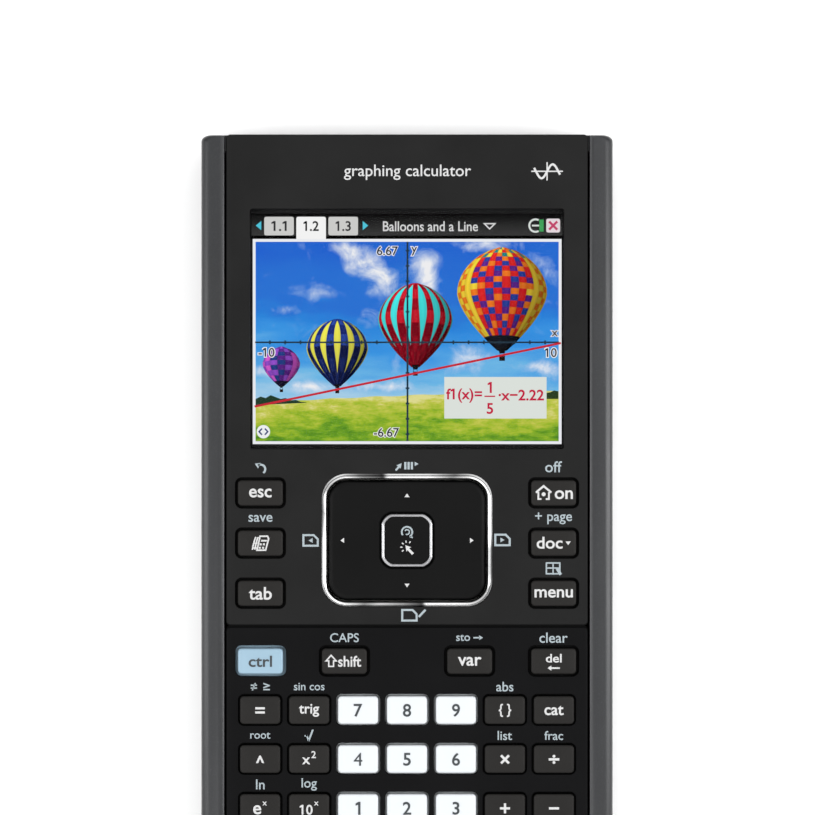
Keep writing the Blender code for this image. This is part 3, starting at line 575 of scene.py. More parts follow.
class Print:
    """Flat marks gathered in one thin mesh, each with its own ink."""

    glyphs = {}

    def __init__(self):
        self.mesh = bmesh.new()
        self.ink = self.mesh.loops.layers.float_color.new("ink")

    def _colour(self, faces, ink):
        for face in faces:
            for loop in face.loops:
                loop[self.ink] = ink

    def _layers(self, points, level):
        """The points on the underside and on the top of a mark."""
        return [[self.mesh.verts.new((x, y, z)) for x, y in points] for z in (level, level + INK)]

    def patch(self, points, ink, level=0.0):
        """A filled outline."""
        low, high = self._layers(points, level)
        faces = [self.mesh.faces.new(reversed(low)), self.mesh.faces.new(high)]
        for here in range(len(points)):
            after = (here + 1) % len(points)
            faces.append(self.mesh.faces.new((low[here], low[after], high[after], high[here])))
        self._colour(faces, ink)
        return faces

    def fade(self, low, high, inks, level=0.0):
        """A rectangle whose ink fades from the first at its foot to the second at its top."""
        size = (high[0] - low[0], high[1] - low[1])
        middle = ((high[0] + low[0]) / 2, (high[1] + low[1]) / 2)
        for face in self.patch(rectangle(size, middle), inks[0], level):
            for loop in face.loops:
                loop[self.ink] = inks[1] if loop.vert.co.y > middle[1] else inks[0]

    def line(self, points, width, ink, level=0.0, closed=False):
        """A stroke of that width through points, with mitred bends."""
        count = len(points)
        left, right = [], []
        for here in range(count):
            point = Vector(points[here])
            into = (point - Vector(points[here - 1])).normalized() if closed or here else None
            last = here == count - 1 and not closed
            out = None if last else (Vector(points[(here + 1) % count]) - point).normalized()
            into, out = into or out, out or into
            bend = (into + out).normalized()
            side = Vector((-bend.y, bend.x))
            reach = width / 2 / max(0.35, side.dot(Vector((-out.y, out.x))))
            left.append(point + side * reach)
            right.append(point - side * reach)
        low_left, high_left = self._layers(left, level)
        low_right, high_right = self._layers(right, level)
        sides = (high_left, high_right, low_right, low_left)
        faces = []
        for here in range(count if closed else count - 1):
            after = (here + 1) % count
            for first, second in zip(sides, sides[1:] + sides[:1]):
                faces.append(self.mesh.faces.new((first[here], second[here], second[after], first[after])))
        if not closed:
            faces += [self.mesh.faces.new([side[end] for side in sides]) for end in (0, count - 1)]
        self._colour(faces, ink)

    @staticmethod
    def _outline(text, bold):
        """The text as points and faces of a thin solid, in the font's own units."""
        curve = bpy.data.curves.new("words", "FONT")
        curve.body = text
        curve.offset = 0.0 if text in ("4", "M") else bold  # these two fill up when bold
        curve.extrude = 0.5
        curve.resolution_u = 4
        holder = bpy.data.objects.new("words", curve)
        bpy.context.scene.collection.objects.link(holder)
        bpy.context.view_layer.update()
        data = bpy.data.meshes.new_from_object(holder)
        points = [tuple(vertex.co) for vertex in data.vertices]
        faces = [tuple(polygon.vertices) for polygon in data.polygons]
        bpy.data.objects.remove(holder)
        bpy.data.curves.remove(curve)
        bpy.data.meshes.remove(data)
        return points, faces

    @classmethod
    def _glyph(cls, text, bold):
        """The outline of a text. The font's 1 is a bare bar, so each gets a small flag."""
        if (text, bold) in cls.glyphs:
            return cls.glyphs[text, bold]
        points, faces = cls._outline(text, bold)
        for place, letter in enumerate(text):
            if letter != "1":
                continue
            bar = cls._outline("1", bold)[0]
            low, high, top = min(p[0] for p in bar), max(p[0] for p in bar), max(p[1] for p in bar)
            left = max(point[0] for point in cls._outline(text[: place + 1], bold)[0]) - high + low
            first = len(points)
            flag = [(left, top - 0.16), (left, top), (left - 0.15, top - 0.1), (left - 0.15, top - 0.21)]
            points += [(x + 0.01, y, z) for z in (-0.5, 0.5) for x, y in flag]
            faces += [(first, first + 3, first + 2, first + 1), (first + 4, first + 5, first + 6, first + 7)]
            for here in range(4):
                after = (here + 1) % 4
                faces.append((first + here, first + after, first + 4 + after, first + 4 + here))
        cls.glyphs[text, bold] = (points, faces)
        return points, faces

    def words(self, text, centre, ink, width=None, height=None, level=0.0, bold=0.012):
        """Text centred by its box. A width or a height left out follows from the other."""
        points, faces = self._glyph(text, bold)
        low_x, high_x = min(p[0] for p in points), max(p[0] for p in points)
        low_y, high_y = min(p[1] for p in points), max(p[1] for p in points)
        scale_x = width / (high_x - low_x) if width else height / (high_y - low_y)
        scale_y = height / (high_y - low_y) if height else scale_x
        made = []
        for x, y, z in points:
            across, up = (x - (low_x + high_x) / 2) * scale_x, (y - (low_y + high_y) / 2) * scale_y
            place = (centre[0] + across, centre[1] + up, level + (INK if z > 0 else 0))
            made.append(self.mesh.verts.new(place))
        self._colour([self.mesh.faces.new([made[index] for index in face]) for face in faces], ink)

    def sheet(self, grid, level, ink_at):
        """A thin sheet through rows of points. ink_at(row, column, cell) inks a cell's corner."""
        low, high = zip(*(self._layers(row, level) for row in grid))
        last_row, last = len(grid) - 1, len(grid[0]) - 1
        for row in range(last_row):
            for column in range(last):
                cells = ((row, column), (row + 1, column), (row + 1, column + 1), (row, column + 1))
                face = self.mesh.faces.new([high[r][c] for r, c in cells])
                for loop, (r, c) in zip(face.loops, cells):
                    loop[self.ink] = ink_at(r, c, (row, column))
                self.mesh.faces.new([low[r][c] for r, c in reversed(cells)])
        rim = [(0, column) for column in range(last)] + [(row, last) for row in range(last_row)]
        rim += [(last_row, last - column) for column in range(last)]
        rim += [(last_row - row, 0) for row in range(last_row)]
        for (r, c), (next_r, next_c) in zip(rim, rim[1:] + rim[:1]):
            self.mesh.faces.new((low[r][c], low[next_r][next_c], high[next_r][next_c], high[r][c]))

    def _split(self, spacing):
        """Cuts long faces, so that the marks can follow a curved surface."""
        for axis, normal in ((0, (1, 0, 0)), (1, (0, 1, 0))):
            places = [vertex.co[axis] for vertex in self.mesh.verts]
            for step in range(ceil(min(places) / spacing), ceil(max(places) / spacing)):
                everything = [*self.mesh.verts, *self.mesh.edges, *self.mesh.faces]
                plane = {"plane_co": [part * step * spacing for part in normal], "plane_no": normal}
                bmesh.ops.bisect_plane(self.mesh, geom=everything, dist=1e-8, **plane)

    def done(self, name, body, slot, material, height, location=(0.0, 0.0, 0.0), curved=False):
        """The marks as a piece. height(x, y) is the surface that they are printed on."""
        bmesh.ops.remove_doubles(self.mesh, verts=self.mesh.verts, dist=1e-7)
        bmesh.ops.recalc_face_normals(self.mesh, faces=self.mesh.faces)
        if curved:
            self._split(0.9 * MM)
        for vertex in self.mesh.verts:
            vertex.co.z += height(vertex.co.x, vertex.co.y)
        data = bpy.data.meshes.new(name)
        self.mesh.to_mesh(data)
        self.mesh.free()
        data.materials.append(material)
        piece = bpy.data.objects.new(name, data)
        piece.location = location
        bpy.context.scene.collection.objects.link(piece)
        return finish_piece(piece, body, slot)


# Case


def build_case(paint):
    """The grey tub whose sides show as rails."""

    def outline(inset_x, inset_y, corner):
        return rounded((CASE_SIZE[0] - 2 * inset_x, CASE_SIZE[1] - 2 * inset_y), corner, steps=10)

    rings = []
    for left, bent in quarter_turn(12):
        inset_x, inset_y = BELLY[0] * left, BELLY[1] * left
        corner = (CASE_CORNER[0] + inset_x / 2, CASE_CORNER[1] + inset_y)
        rings.append((outline(inset_x, inset_y, corner), BACK_Z + BELLY[2] * bent))
    for left, bent in quarter_turn(8):
        z = RAIL_TOP - RAIL_ROUND * left
        rings.append((outline(RAIL_ROUND * bent, RAIL_END_ROUND * bent, CASE_CORNER), z))
    tub = lofted("case_tub", [rings], paint)
    cavity = rounded((2 * RAIL_INNER, 2 * END_WALL_INNER), 2 * MM)
    floor = rounded((2 * RAIL_INNER - 4 * MM, 2 * END_WALL_INNER - 3 * MM), 2 * MM)
    slot = rectangle((2 * RAIL_INNER, 3 * CASE_SIZE[1]))
    rise = 0.38 * RAIL_BEVEL
    flared = rectangle((2 * (RAIL_INNER + 2 * RAIL_BEVEL), 3 * CASE_SIZE[1]))
    cut(tub, [(floor, FLOOR_Z), (cavity, FLOOR_Z + 2 * MM), (cavity, RAIL_TOP + MM)])
    cut(tub, [(slot, END_WALL_TOP), (slot, RAIL_TOP - rise), (flared, RAIL_TOP + rise)])
    holes = []
    for node, side in (("usb_connector", 1), ("dock_connector", -1)):
        size = (size_of(node)[0] + 1.2 * MM, 20 * MM)
        notch = rectangle(size, (0, side * (END_WALL_INNER + 9 * MM)))
        holes.append(prism(notch, PORT_Z, RAIL_TOP + MM))
    bay = grown(size_of("battery_door"), 0.3 * MM)
    bay = rounded(bay, 2 * MM, centre=(0, centre_of("battery_door")[1]))
    label = rounded(grown(LABEL_SIZE, 0.5 * MM), MM, centre=LABEL_CENTRE)
    reset = circle(1.3 * MM, centre_of("reset_button"))
    holes += [prism(bay, -MM, 1.5 * MM), prism(reset, -MM, FLOOR_Z + MM)]
    holes.append(prism(label, -MM, BACK_Z + 0.2 * MM))
    for number in range(1, 5):
        holes.append(prism(circle(2.5 * MM, centre_of(f"case_screw_{number}")), -MM, 2.6 * MM))
    cut(tub, *holes)
    soften(tub, 0.12 * MM)
    finish_piece(tub, "housing", "rail_grey", "rear_cover")


def build_feet(rubber):
    """Four soft pads on the moulded feet."""
    solids = []
    for place in corners(FOOT_PLACE):
        rings = []
        for left, bent in quarter_turn(4):
            inset = FOOT_ROUND * left
            outline = rounded(grown(FOOT_SIZE, -inset), 2 * MM - inset, centre=place)
            rings.append((outline, FOOT_ROUND * bent))
        solids.append(rings + [(rounded(FOOT_SIZE, 2 * MM, centre=place), BACK_Z + 0.1 * MM)])
    finish_piece(lofted("feet", solids, rubber), "housing", "rail_grey")


def plate_rings(low_y, high_y, seam_side, top):
    """Rings of one half of the front cover. Its seam side stops short above the seam's floor."""
    centre, length, corner = (0, (low_y + high_y) / 2), high_y - low_y, 0.8 * MM
    flange = rounded((2 * PLATE_HIGH.x, length), corner, centre=centre)
    full = rounded((2 * PLATE_HALF, length), corner, centre=centre)
    size = (2 * PLATE_HALF, length - SEAM_HALF)
    centre = (0, centre[1] - seam_side * SEAM_HALF / 2)
    seam_z = PLATE_TOP - SEAM_DEPTH
    rings = prism(flange, PLATE_BOTTOM, PLATE_BOTTOM + 0.4 * MM)
    rings += prism(full, PLATE_BOTTOM + 0.401 * MM, seam_z)
    rings.append((rounded(size, corner, centre=centre), seam_z + 0.001 * MM))
    for left, bent in quarter_turn(5):
        inset = EDGE_ROUND * bent
        outline = rounded(grown(size, -inset), corner - inset / 2, centre=centre)
        rings.append((outline, top - EDGE_ROUND * left))
    return rings


def opening(outline_of, top, chamfer=RIM_CHAMFER):
    """A cutter through the cover: outline_of(margin) gives the hole's outline grown by margin."""
    flared = (outline_of(chamfer + 0.5 * MM), top + 0.5 * MM)
    return prism(outline_of(0.0), PLATE_BOTTOM - MM, top - chamfer) + [flared]


def key_hole(centre, cap, gap, top, corner=KEY_CORNER):
    def outline(margin):
        return rounded(grown(cap, gap + margin), corner + gap + margin, centre=centre)

    return opening(outline, top)


def build_front(plate_black, deck_black, keys, rows):
    """The display plate and, across a seam, the slightly lower keypad deck."""
    plate = lofted("display_plate", [plate_rings(SEAM_Y, PLATE_HIGH.y, -1, PLATE_TOP)], plate_black)
    deck = lofted("keypad_deck", [plate_rings(PLATE_LOW.y, SEAM_Y, 1, DECK_TOP)], deck_black)

    def window(margin):
        size = [2 * (half + more + margin) for half, more in zip(SCREEN_HALF, WINDOW_MARGIN)]
        return rounded(size, 0.6 * MM + margin, centre=SCREEN_CENTRE)

    def pad(margin):
        gap = 0.08 * MM + margin
        return rounded(grown(RING_SIZE, gap), RING_CORNER + gap, steps=12, centre=PAD_CENTRE)

    on_plate, on_deck = [opening(window, PLATE_TOP, 0.1 * MM), opening(pad, PLATE_TOP)], []
    for key in keys:
        holes, top = (on_deck, DECK_TOP) if key["y"] < SEAM_Y else (on_plate, PLATE_TOP)
        holes.append(key_hole((key["x"], key["y"]), key["cap"], key["gap"], top))
    for row in rows:
        for x, cap in row["caps"]:
            on_deck.append(key_hole((x, row["y"]), cap, LETTER_GAP, DECK_TOP, LETTER_CORNER))
    for piece, holes in ((plate, on_plate), (deck, on_deck)):
        cut(piece, *holes)
        finish_piece(piece, "housing", "cover_black", "front_cover")


# Keys


def crown_height(cap, top):
    """The cap's surface height at a point, from its pillow shape."""
    half_x, half_y = cap[0] / 2, cap[1] / 2

    def height(x, y):
        across, along = min(1.0, abs(x) / half_x), min(1.0, abs(y) / half_y)
        return top - KEY_CROWN * (1 - (1 - across**2) * (1 - along**2))

    return height


def cap_rings(cap, top, corner, centre=(0.0, 0.0), low=KEY_FLANGE_Z[1]):
    """Rings of a cap from low up its side, over its rounded edge and across its crown."""
    height = crown_height(cap, top)
    half = min(cap) / 2 - KEY_EDGE
    steps = [(KEY_EDGE * bent, KEY_EDGE * left) for left, bent in quarter_turn(6)]
    steps += [(KEY_EDGE + half * step / 6, 0.0) for step in range(1, 6)]
    rings = [(rounded(cap, corner, steps=6, centre=centre), low)]
    for inset, drop in steps:
        outline = rounded(grown(cap, -inset), max(corner - inset, 0.05 * MM), steps=6)
        rings.append([(centre[0] + x, centre[1] + y, height(x, y) - drop) for x, y in outline])
    return rings


def build_key(key, material):
    """One key: its flange under the cover and its crowned cap."""
    name, node = f"cap_{key['name']}", f"key_{key['name']}"
    flange = rounded(grown(key["cap"], key["gap"] + KEY_FLANGE_LAP), KEY_CORNER + key["gap"], steps=6)
    rings = prism(flange, *KEY_FLANGE_Z) + cap_rings(key["cap"], KEY_TOP, KEY_CORNER)
    piece = lofted(name, [rings], material, (key["x"], key["y"], 0.0), sharp=50.0)
    finish_piece(piece, node, key["slot"], node)


def build_letter_row(row, material):
    """A row of small caps on one thin carrier."""
    left = row["caps"][0][0] - row["caps"][0][1][0] / 2
    right = row["caps"][-1][0] + row["caps"][-1][1][0] / 2
    web = grown((right - left, LETTER_CAP[1]), LETTER_WEB)
    web = rounded(web, 0.6 * MM, steps=3, centre=((left + right) / 2, 0.0))
    low = KEY_FLANGE_Z[1] - 0.1 * MM
    solids = [prism(web, *KEY_FLANGE_Z)]
    solids += [cap_rings(cap, LETTER_TOP, LETTER_CORNER, (x, 0.0), low) for x, cap in row["caps"]]
    node = f"key_{row['name']}"
    piece = lofted(f"caps_{row['name']}", solids, material, (0.0, row["y"], 0.0), sharp=50.0)
    finish_piece(piece, node, "key_grey", node)


def post_rings(place):
    """Rings of a post of the keypad mat, standing in its sheet."""
    foot, tip = (rounded(size, 0.5 * MM, steps=3, centre=place) for size in (POST_BASE, POST_TIP))
    return [(foot, POST_FOOT), (tip, MAT_HIGH.z)]


def build_keypad_mat(silicone, keys, rows):
    """The silicone mat under the keys, and each key's posts as a piece of their own."""
    half_x, notch_x, notch_y = MAT_HIGH.x, MAT_HIGH.x - MAT_NOTCH[0], MAT_LOW.y + MAT_NOTCH[1]
    outline = [(-notch_x, MAT_LOW.y), (notch_x, MAT_LOW.y), (notch_x, notch_y), (half_x, notch_y)]
    outline += [(half_x, MAT_HIGH.y), (-half_x, MAT_HIGH.y), (-half_x, notch_y), (-notch_x, notch_y)]
    sheet = lofted("mat_sheet", [prism(outline, MAT_LOW.z, MAT_SHEET_TOP)], silicone)
    finish_piece(sheet, "housing", "silicone", "keypad_mat")
    groups = [(key["name"], [(key["x"], key["y"])]) for key in keys]
    groups += [(row["name"], [(x, row["y"]) for x, _ in row["caps"]]) for row in rows]
    for name, places in groups:
        posts = lofted(f"posts_{name}", [post_rings(place) for place in places], silicone)
        finish_piece(posts, "housing", "silicone", "keypad_mat")
        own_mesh(posts)


def centre_of(node):
    low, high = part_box(node)
    return ((low.x + high.x) / 2, (low.y + high.y) / 2)


def lofted(name, solids, material, location=(0.0, 0.0, 0.0), sharp=35.0):
    """An object of closed solids, each a list of loft rings."""

    def build(mesh):
        for rings in solids:
            add_loft(mesh, rings)

    return object_of(name, build, material, location, sharp)


def key_list():
    """Each single key's place and size, from the frame."""
    found = []
    side = ("esc", "scratchpad", "tab", "home", "doc", "menu", "ctrl", "shift", "var", "del")
    for node in sorted(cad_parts):
        name = node.removeprefix("key_")
        if not node.startswith("key_") or name.startswith("row_") or name == node:
            continue
        x, y = centre_of(node)
        cap, gap = (SIDE_CAP, SIDE_GAP) if name in side else (MAIN_CAP, MAIN_GAP)
        if name == "enter":
            cap = ENTER_CAP
        white = name.isdigit() or name in ("point", "negative")
        slot = "key_white" if white else "key_blue" if name == "ctrl" else "key_black"
        found.append({"name": name, "x": x, "y": y, "cap": cap, "gap": gap, "slot": slot})
    return found


def row_list():
    """Each letter row's height on the deck and its caps, from the frame."""
    found = []
    for name in ("row_a_to_g", "row_h_to_n", "row_o_to_u", "row_v_to_z"):
        _, y = centre_of(f"key_{name}")
        columns = range(1, 6) if name == "row_v_to_z" else range(9)
        caps = [((column - 4) * LETTER_PITCH, LETTER_CAP) for column in columns]
        if name == "row_v_to_z":
            caps.append((2.5 * LETTER_PITCH, SPACE_CAP))
        found.append({"name": name, "y": y, "caps": caps})
    return found


# Legends. Each draws in the plane round a middle point, in metres.


def arc(centre, radius, start, end, steps=12):
    """Points along an arc, from start to end in degrees."""
    angles = [radians(start + (end - start) * step / steps) for step in range(steps + 1)]
    return [(centre[0] + radius * cos(angle), centre[1] + radius * sin(angle)) for angle in angles]


def moved(points, centre):
    return [(centre[0] + x * MM, centre[1] + y * MM) for x, y in points]


def stroke(marks, centre, points, width, ink, level=0.0, closed=False):
    """A line round a centre, its points and width in mm."""
    marks.line(moved(points, centre), width * MM, ink, level, closed)


def house_icon(marks, centre, ink):
    """A house with a round doorway."""
    stroke(marks, centre, [(-1.6, 0.1), (0.0, 1.45), (1.6, 0.1)], 0.42, ink)
    for side in (-1, 1):
        stroke(marks, centre, [(side * 1.1, 0.2), (side * 1.1, -1.25), (side * 0.45, -1.25)], 0.36, ink)
    marks.patch(circle(0.42 * MM, (centre[0], centre[1] - 0.25 * MM), 16), ink)


def triangle(marks, centre, width, height, ink, turn=0.0, level=0.0):
    """A triangle that points up, or turned anticlockwise by degrees."""
    across, up = cos(radians(turn)), sin(radians(turn))
    shape = ((-width / 2, -height / 2), (width / 2, -height / 2), (0.0, height / 2))
    points = [(centre[0] + x * across - y * up, centre[1] + x * up + y * across) for x, y in shape]
    marks.patch(points, ink, level)


def page_icon(marks, centre, ink, turn=None):
    """A sheet with a clipped corner, and an arrowhead in it if a turn is given."""
    outline = [(-1.5, -1.1), (1.5, -1.1), (1.5, 0.25), (0.65, 1.1), (-1.5, 1.1)]
    stroke(marks, centre, outline, 0.42, ink, closed=True)
    if turn is not None:
        triangle(marks, centre, 1.0 * MM, 0.85 * MM, ink, turn)


def calculator_icon(marks, centre, ink):
    """A small slanted calculator in front of two sheets."""
    body = [(-0.7, -1.45), (1.1, -1.45), (1.75, 0.95), (1.5, 1.45), (-0.05, 1.45)]
    stroke(marks, centre, body, 0.32, ink, closed=True)
    marks.patch(moved([(0.1, 0.35), (1.3, 0.35), (1.45, 0.7), (0.2, 0.7)], centre), ink)
    for row in range(2):
        for column in range(2):
            spot = (-0.1 + 0.68 * column + 0.17 * row, -0.95 + 0.72 * row)
            marks.patch(rectangle((0.42 * MM, 0.42 * MM), moved([spot], centre)[0]), ink)
    for shift in (0.0, -0.5):
        edge = [(-1.15 + shift, -1.35), (-0.95 + shift, -0.3), (-0.55 + shift, 1.1), (-0.35 + shift, 1.25)]
        stroke(marks, centre, edge, 0.3, ink)
    stroke(marks, centre, [(-1.6, -1.0), (-0.75, -1.0)], 0.24, ink, INK / 2)
    stroke(marks, centre, [(-1.4, 0.0), (-0.6, 0.0)], 0.24, ink, INK / 2)


def undo_icon(marks, centre, ink):
    """An arrow that curls back to the left."""
    curl = arc((centre[0] + 0.05 * MM, centre[1] - 0.3 * MM), 0.95 * MM, 125, -55)
    marks.line(curl, 0.42 * MM, ink)
    triangle(marks, (centre[0] - 0.7 * MM, centre[1] + 0.65 * MM), 1.3 * MM, 1.05 * MM, ink, 65)


def sheets_icon(marks, centre, ink):
    """An arrow beside a row of pages."""
    stroke(marks, centre, [(-2.35, -0.95), (-1.75, -0.25)], 0.4, ink)
    triangle(marks, moved([(-1.45, 0.15)], centre)[0], 1.1 * MM, 1.0 * MM, ink, -40)
    for column in range(3):
        x = -0.35 + 0.68 * column
        stroke(marks, centre, [(x, -0.75), (x, 0.8)], 0.46, ink)
    triangle(marks, moved([(2.0, 0.4)], centre)[0], 0.9 * MM, 0.8 * MM, ink, -90)


def checked_page_icon(marks, centre, ink):
    """A sheet with a stroke beside it."""
    page_icon(marks, (centre[0] - 0.8 * MM, centre[1]), ink)
    stroke(marks, centre, [(1.15, -0.35), (2.55, 1.15)], 0.46, ink)


def grid_icon(marks, centre, ink):
    """A small table with a pointer."""
    stroke(marks, centre, [(-1.5, -1.1), (1.3, -1.1), (1.3, 1.15), (-1.5, 1.15)], 0.3, ink, closed=True)
    stroke(marks, centre, [(-1.5, 0.1), (1.3, 0.1)], 0.28, ink, INK / 2)
    stroke(marks, centre, [(-0.1, 1.15), (-0.1, -1.1)], 0.26, ink, INK)
    stroke(marks, centre, [(0.7, 0.0), (1.5, -1.3)], 0.6, ink, INK)


def grab_icon(marks, centre, ink):
    """A curled hand, as an open ring round a dot."""
    marks.line(arc(centre, 1.1 * MM, -60, 215, 20), 0.34 * MM, ink)
    marks.line(arc(centre, 0.5 * MM, -120, 150, 12), 0.26 * MM, ink)
    stroke(marks, centre, [(0.55, -0.95), (1.2, -1.15)], 0.3, ink)


def pointer_icon(marks, centre, ink):
    """A click pointer with short rays."""
    head = [(-0.45, 0.5), (0.75, 0.1), (0.35, -0.15), (1.35, -1.15), (0.95, -1.5), (0.0, -0.5)]
    head.append((-0.2, -0.85))
    marks.patch(moved(head, centre), ink)
    middle = (centre[0] - 0.1 * MM, centre[1] + 0.1 * MM)
    for angle in (60, 100, 140, 180, 220):
        marks.line([arc(middle, reach * MM, angle, angle, 1)[0] for reach in (0.95, 1.4)], 0.24 * MM, ink)


def shift_icon(marks, centre, ink):
    """A hollow arrow that points up."""
    outline = [(0, 1.2), (1.05, 0.05), (0.5, 0.05), (0.5, -1.1), (-0.5, -1.1), (-0.5, 0.05), (-1.05, 0.05)]
    stroke(marks, centre, outline, 0.28, ink, closed=True)


def graph_icon(marks, centre, ink):
    """Two axes with a wave across them."""
    stroke(marks, centre, [(-3.3, 0.0), (3.3, 0.0)], 0.26, ink)
    stroke(marks, centre, [(0.0, -1.9), (0.0, 1.9)], 0.26, ink, INK / 2)
    stroke(marks, centre, [(x / 10, 1.45 * sin(x / 10 * 1.35)) for x in range(-27, 28)], 0.44, ink, INK)


# Each word's text, place on the key, width and, where it isn't the font's own, height, in mm
KEY_WORDS = {
    "esc": [("esc", 0, 0, 4.7, None)],
    "tab": [("tab", 0, 0, 4.8, 2.65)],
    "home": [("on", 2.1, -0.35, 3.8, 1.85)],
    "doc": [("doc", -0.85, 0.1, 5.4, 2.5)],
    "menu": [("menu", 0, 0, 8.0, 1.75)],
    "ctrl": [("ctrl", 0, 0, 4.9, 2.35)],
    "shift": [("shift", 1.1, 0, 4.8, 2.3)],
    "var": [("var", 0, 0, 4.9, None)],
    "del": [("del", 0, 0.65, 3.3, 1.8)],
    "enter": [("enter", 0, 0, 8.6, None)],
    "equals": [("=", 0, 0, 2.0, None)],
    "trig": [("trig", 0, 0, 4.2, None)],
    "template": [("{ }", 0, 0, 2.6, None)],
    "catalog": [("cat", 0, 0, 4.0, None)],
    "power": [("^", 0, 0, 1.7, None)],
    "square": [("x", -0.6, -0.3, 1.7, None), ("2", 0.95, 1.0, 0.95, None)],
    "multiply": [("×", 0, 0, 2.0, None)],
    "divide": [("÷", 0, 0, 2.2, None)],
    "exponential": [("e", -0.6, -0.3, 1.7, None), ("x", 0.95, 1.0, 0.95, None)],
    "ten_power": [("10", -0.6, -0.3, 2.7, None), ("x", 1.5, 1.0, 0.95, None)],
    "plus": [("+", 0, 0, 2.1, None)],
    "minus": [("−", 0, 0, 2.1, None)],
    "open_bracket": [("(", 0, 0, None, 3.0)],
    "close_bracket": [(")", 0, 0, None, 3.0)],
    "point": [(".", 0, -1.0, 0.75, None)],
    "negative": [("(−)", 0, 0, 4.0, None)],
}
DECK_WORDS = (  # above which key, text, width
    ("scratchpad", "save", 5.0),
    ("home", "off", 3.5),
    ("doc", "+ page", 7.7),
    ("shift", "CAPS", 6.0),
    ("del", "clear", 5.9),
    ("equals", "\u2260 \u2265", 4.0),
    ("trig", "sin cos", 6.4),
    ("template", "abs", 3.6),
    ("power", "root", 4.2),
    ("square", "\u221a", 1.9),
    ("multiply", "list", 3.0),
    ("divide", "frac", 3.9),
    ("exponential", "ln", 1.8),
    ("ten_power", "log", 3.2),
    ("open_bracket", "[ ]", 2.2),
    ("close_bracket", "abc", 3.4),
    ("negative", "ans", 3.6),
    ("enter", "\u2248", 2.0),
)
LETTER_WORDS = {
    "row_a_to_g": ("EE", "A", "B", "C", "D", "E", "F", "G", "?"),
    "row_h_to_n": ("\u03c0", "H", "I", "J", "K", "L", "M", "N", "!"),
    "row_o_to_u": (",", "O", "P", "Q", "R", "S", "T", "U", ":"),
    "row_v_to_z": ("V", "W", "X", "Y", "Z", "space"),
}
CAPITAL = 2.1 * MM  # the height of a letter key's capital
LEGEND_BOLD = 0.016
SECOND_BOLD = 0.008


def key_marks(key, marks):
    """Draws a key's own legend round its middle."""
    name, middle = key["name"], (0.0, 0.0)
    ink = DARK_INK if key["slot"] in ("key_white", "key_blue") else WHITE_INK
    if name == "home":
        house_icon(marks, (-2.1 * MM, 0.0), ink)
    elif name == "shift":
        shift_icon(marks, (-2.75 * MM, 0.05 * MM), ink)
    elif name == "scratchpad":
        calculator_icon(marks, middle, ink)
    digit = [(name, 0, 0, None, 2.7)] if name.isdigit() else []
    for text, x, y, width, height in KEY_WORDS.get(name, digit):
        size = (width and width * MM, height and height * MM)
        marks.words(text, (x * MM, y * MM), ink, *size, bold=LEGEND_BOLD)
    if name == "doc":
        triangle(marks, (3.0 * MM, 0.0), 1.1 * MM, 0.75 * MM, ink, 180)
    elif name == "del":
        stroke(marks, middle, [(-0.6, -1.4), (1.25, -1.4)], 0.34, ink)
        triangle(marks, (-0.9 * MM, -1.4 * MM), 1.1 * MM, 0.8 * MM, ink, 90)


def pi_icon(marks, centre, ink):
    """The number's sign, drawn because the font's own is misshapen."""
    stroke(marks, centre, [(-0.75, 0.55), (0.75, 0.55)], 0.26, ink)
    for side in (-0.35, 0.35):
        stroke(marks, centre, [(side, 0.42), (side * 1.15, -0.75)], 0.26, ink)


def build_legends(ink, keys, rows):
    """Every printed mark on the keys."""
    for key in keys:
        marks = Print()
        key_marks(key, marks)
        surface = crown_height(key["cap"], KEY_TOP)
        node, place = f"key_{key['name']}", (key["x"], key["y"], 0.0)
        marks.done(f"legend_{key['name']}", node, key["slot"], ink, surface, place, curved=True)
    for row in rows:
        marks = Print()
        spots = [(x, crown_height(cap, LETTER_TOP)) for x, cap in row["caps"]]
        for (x, _), text in zip(spots, LETTER_WORDS[row["name"]]):
            if text == "space":
                marks.words(text, (x, -0.1 * MM), WHITE_INK, 6.0 * MM)
            elif text == "π":
                pi_icon(marks, (x, 0.0), WHITE_INK)
            else:
                tall = {",": 0.9 * MM, ":": 1.5 * MM}.get(text, CAPITAL)
                marks.words(text, (x, 0.0), WHITE_INK, height=tall)

        def surface(x, y, spots=spots):
            middle, height = min(spots, key=lambda spot: abs(spot[0] - x))
            return height(x - middle, y)

        node, place = f"key_{row['name']}", (0.0, row["y"], 0.0)
        marks.done(f"legend_{row['name']}", node, "key_grey", ink, surface, place, curved=True)


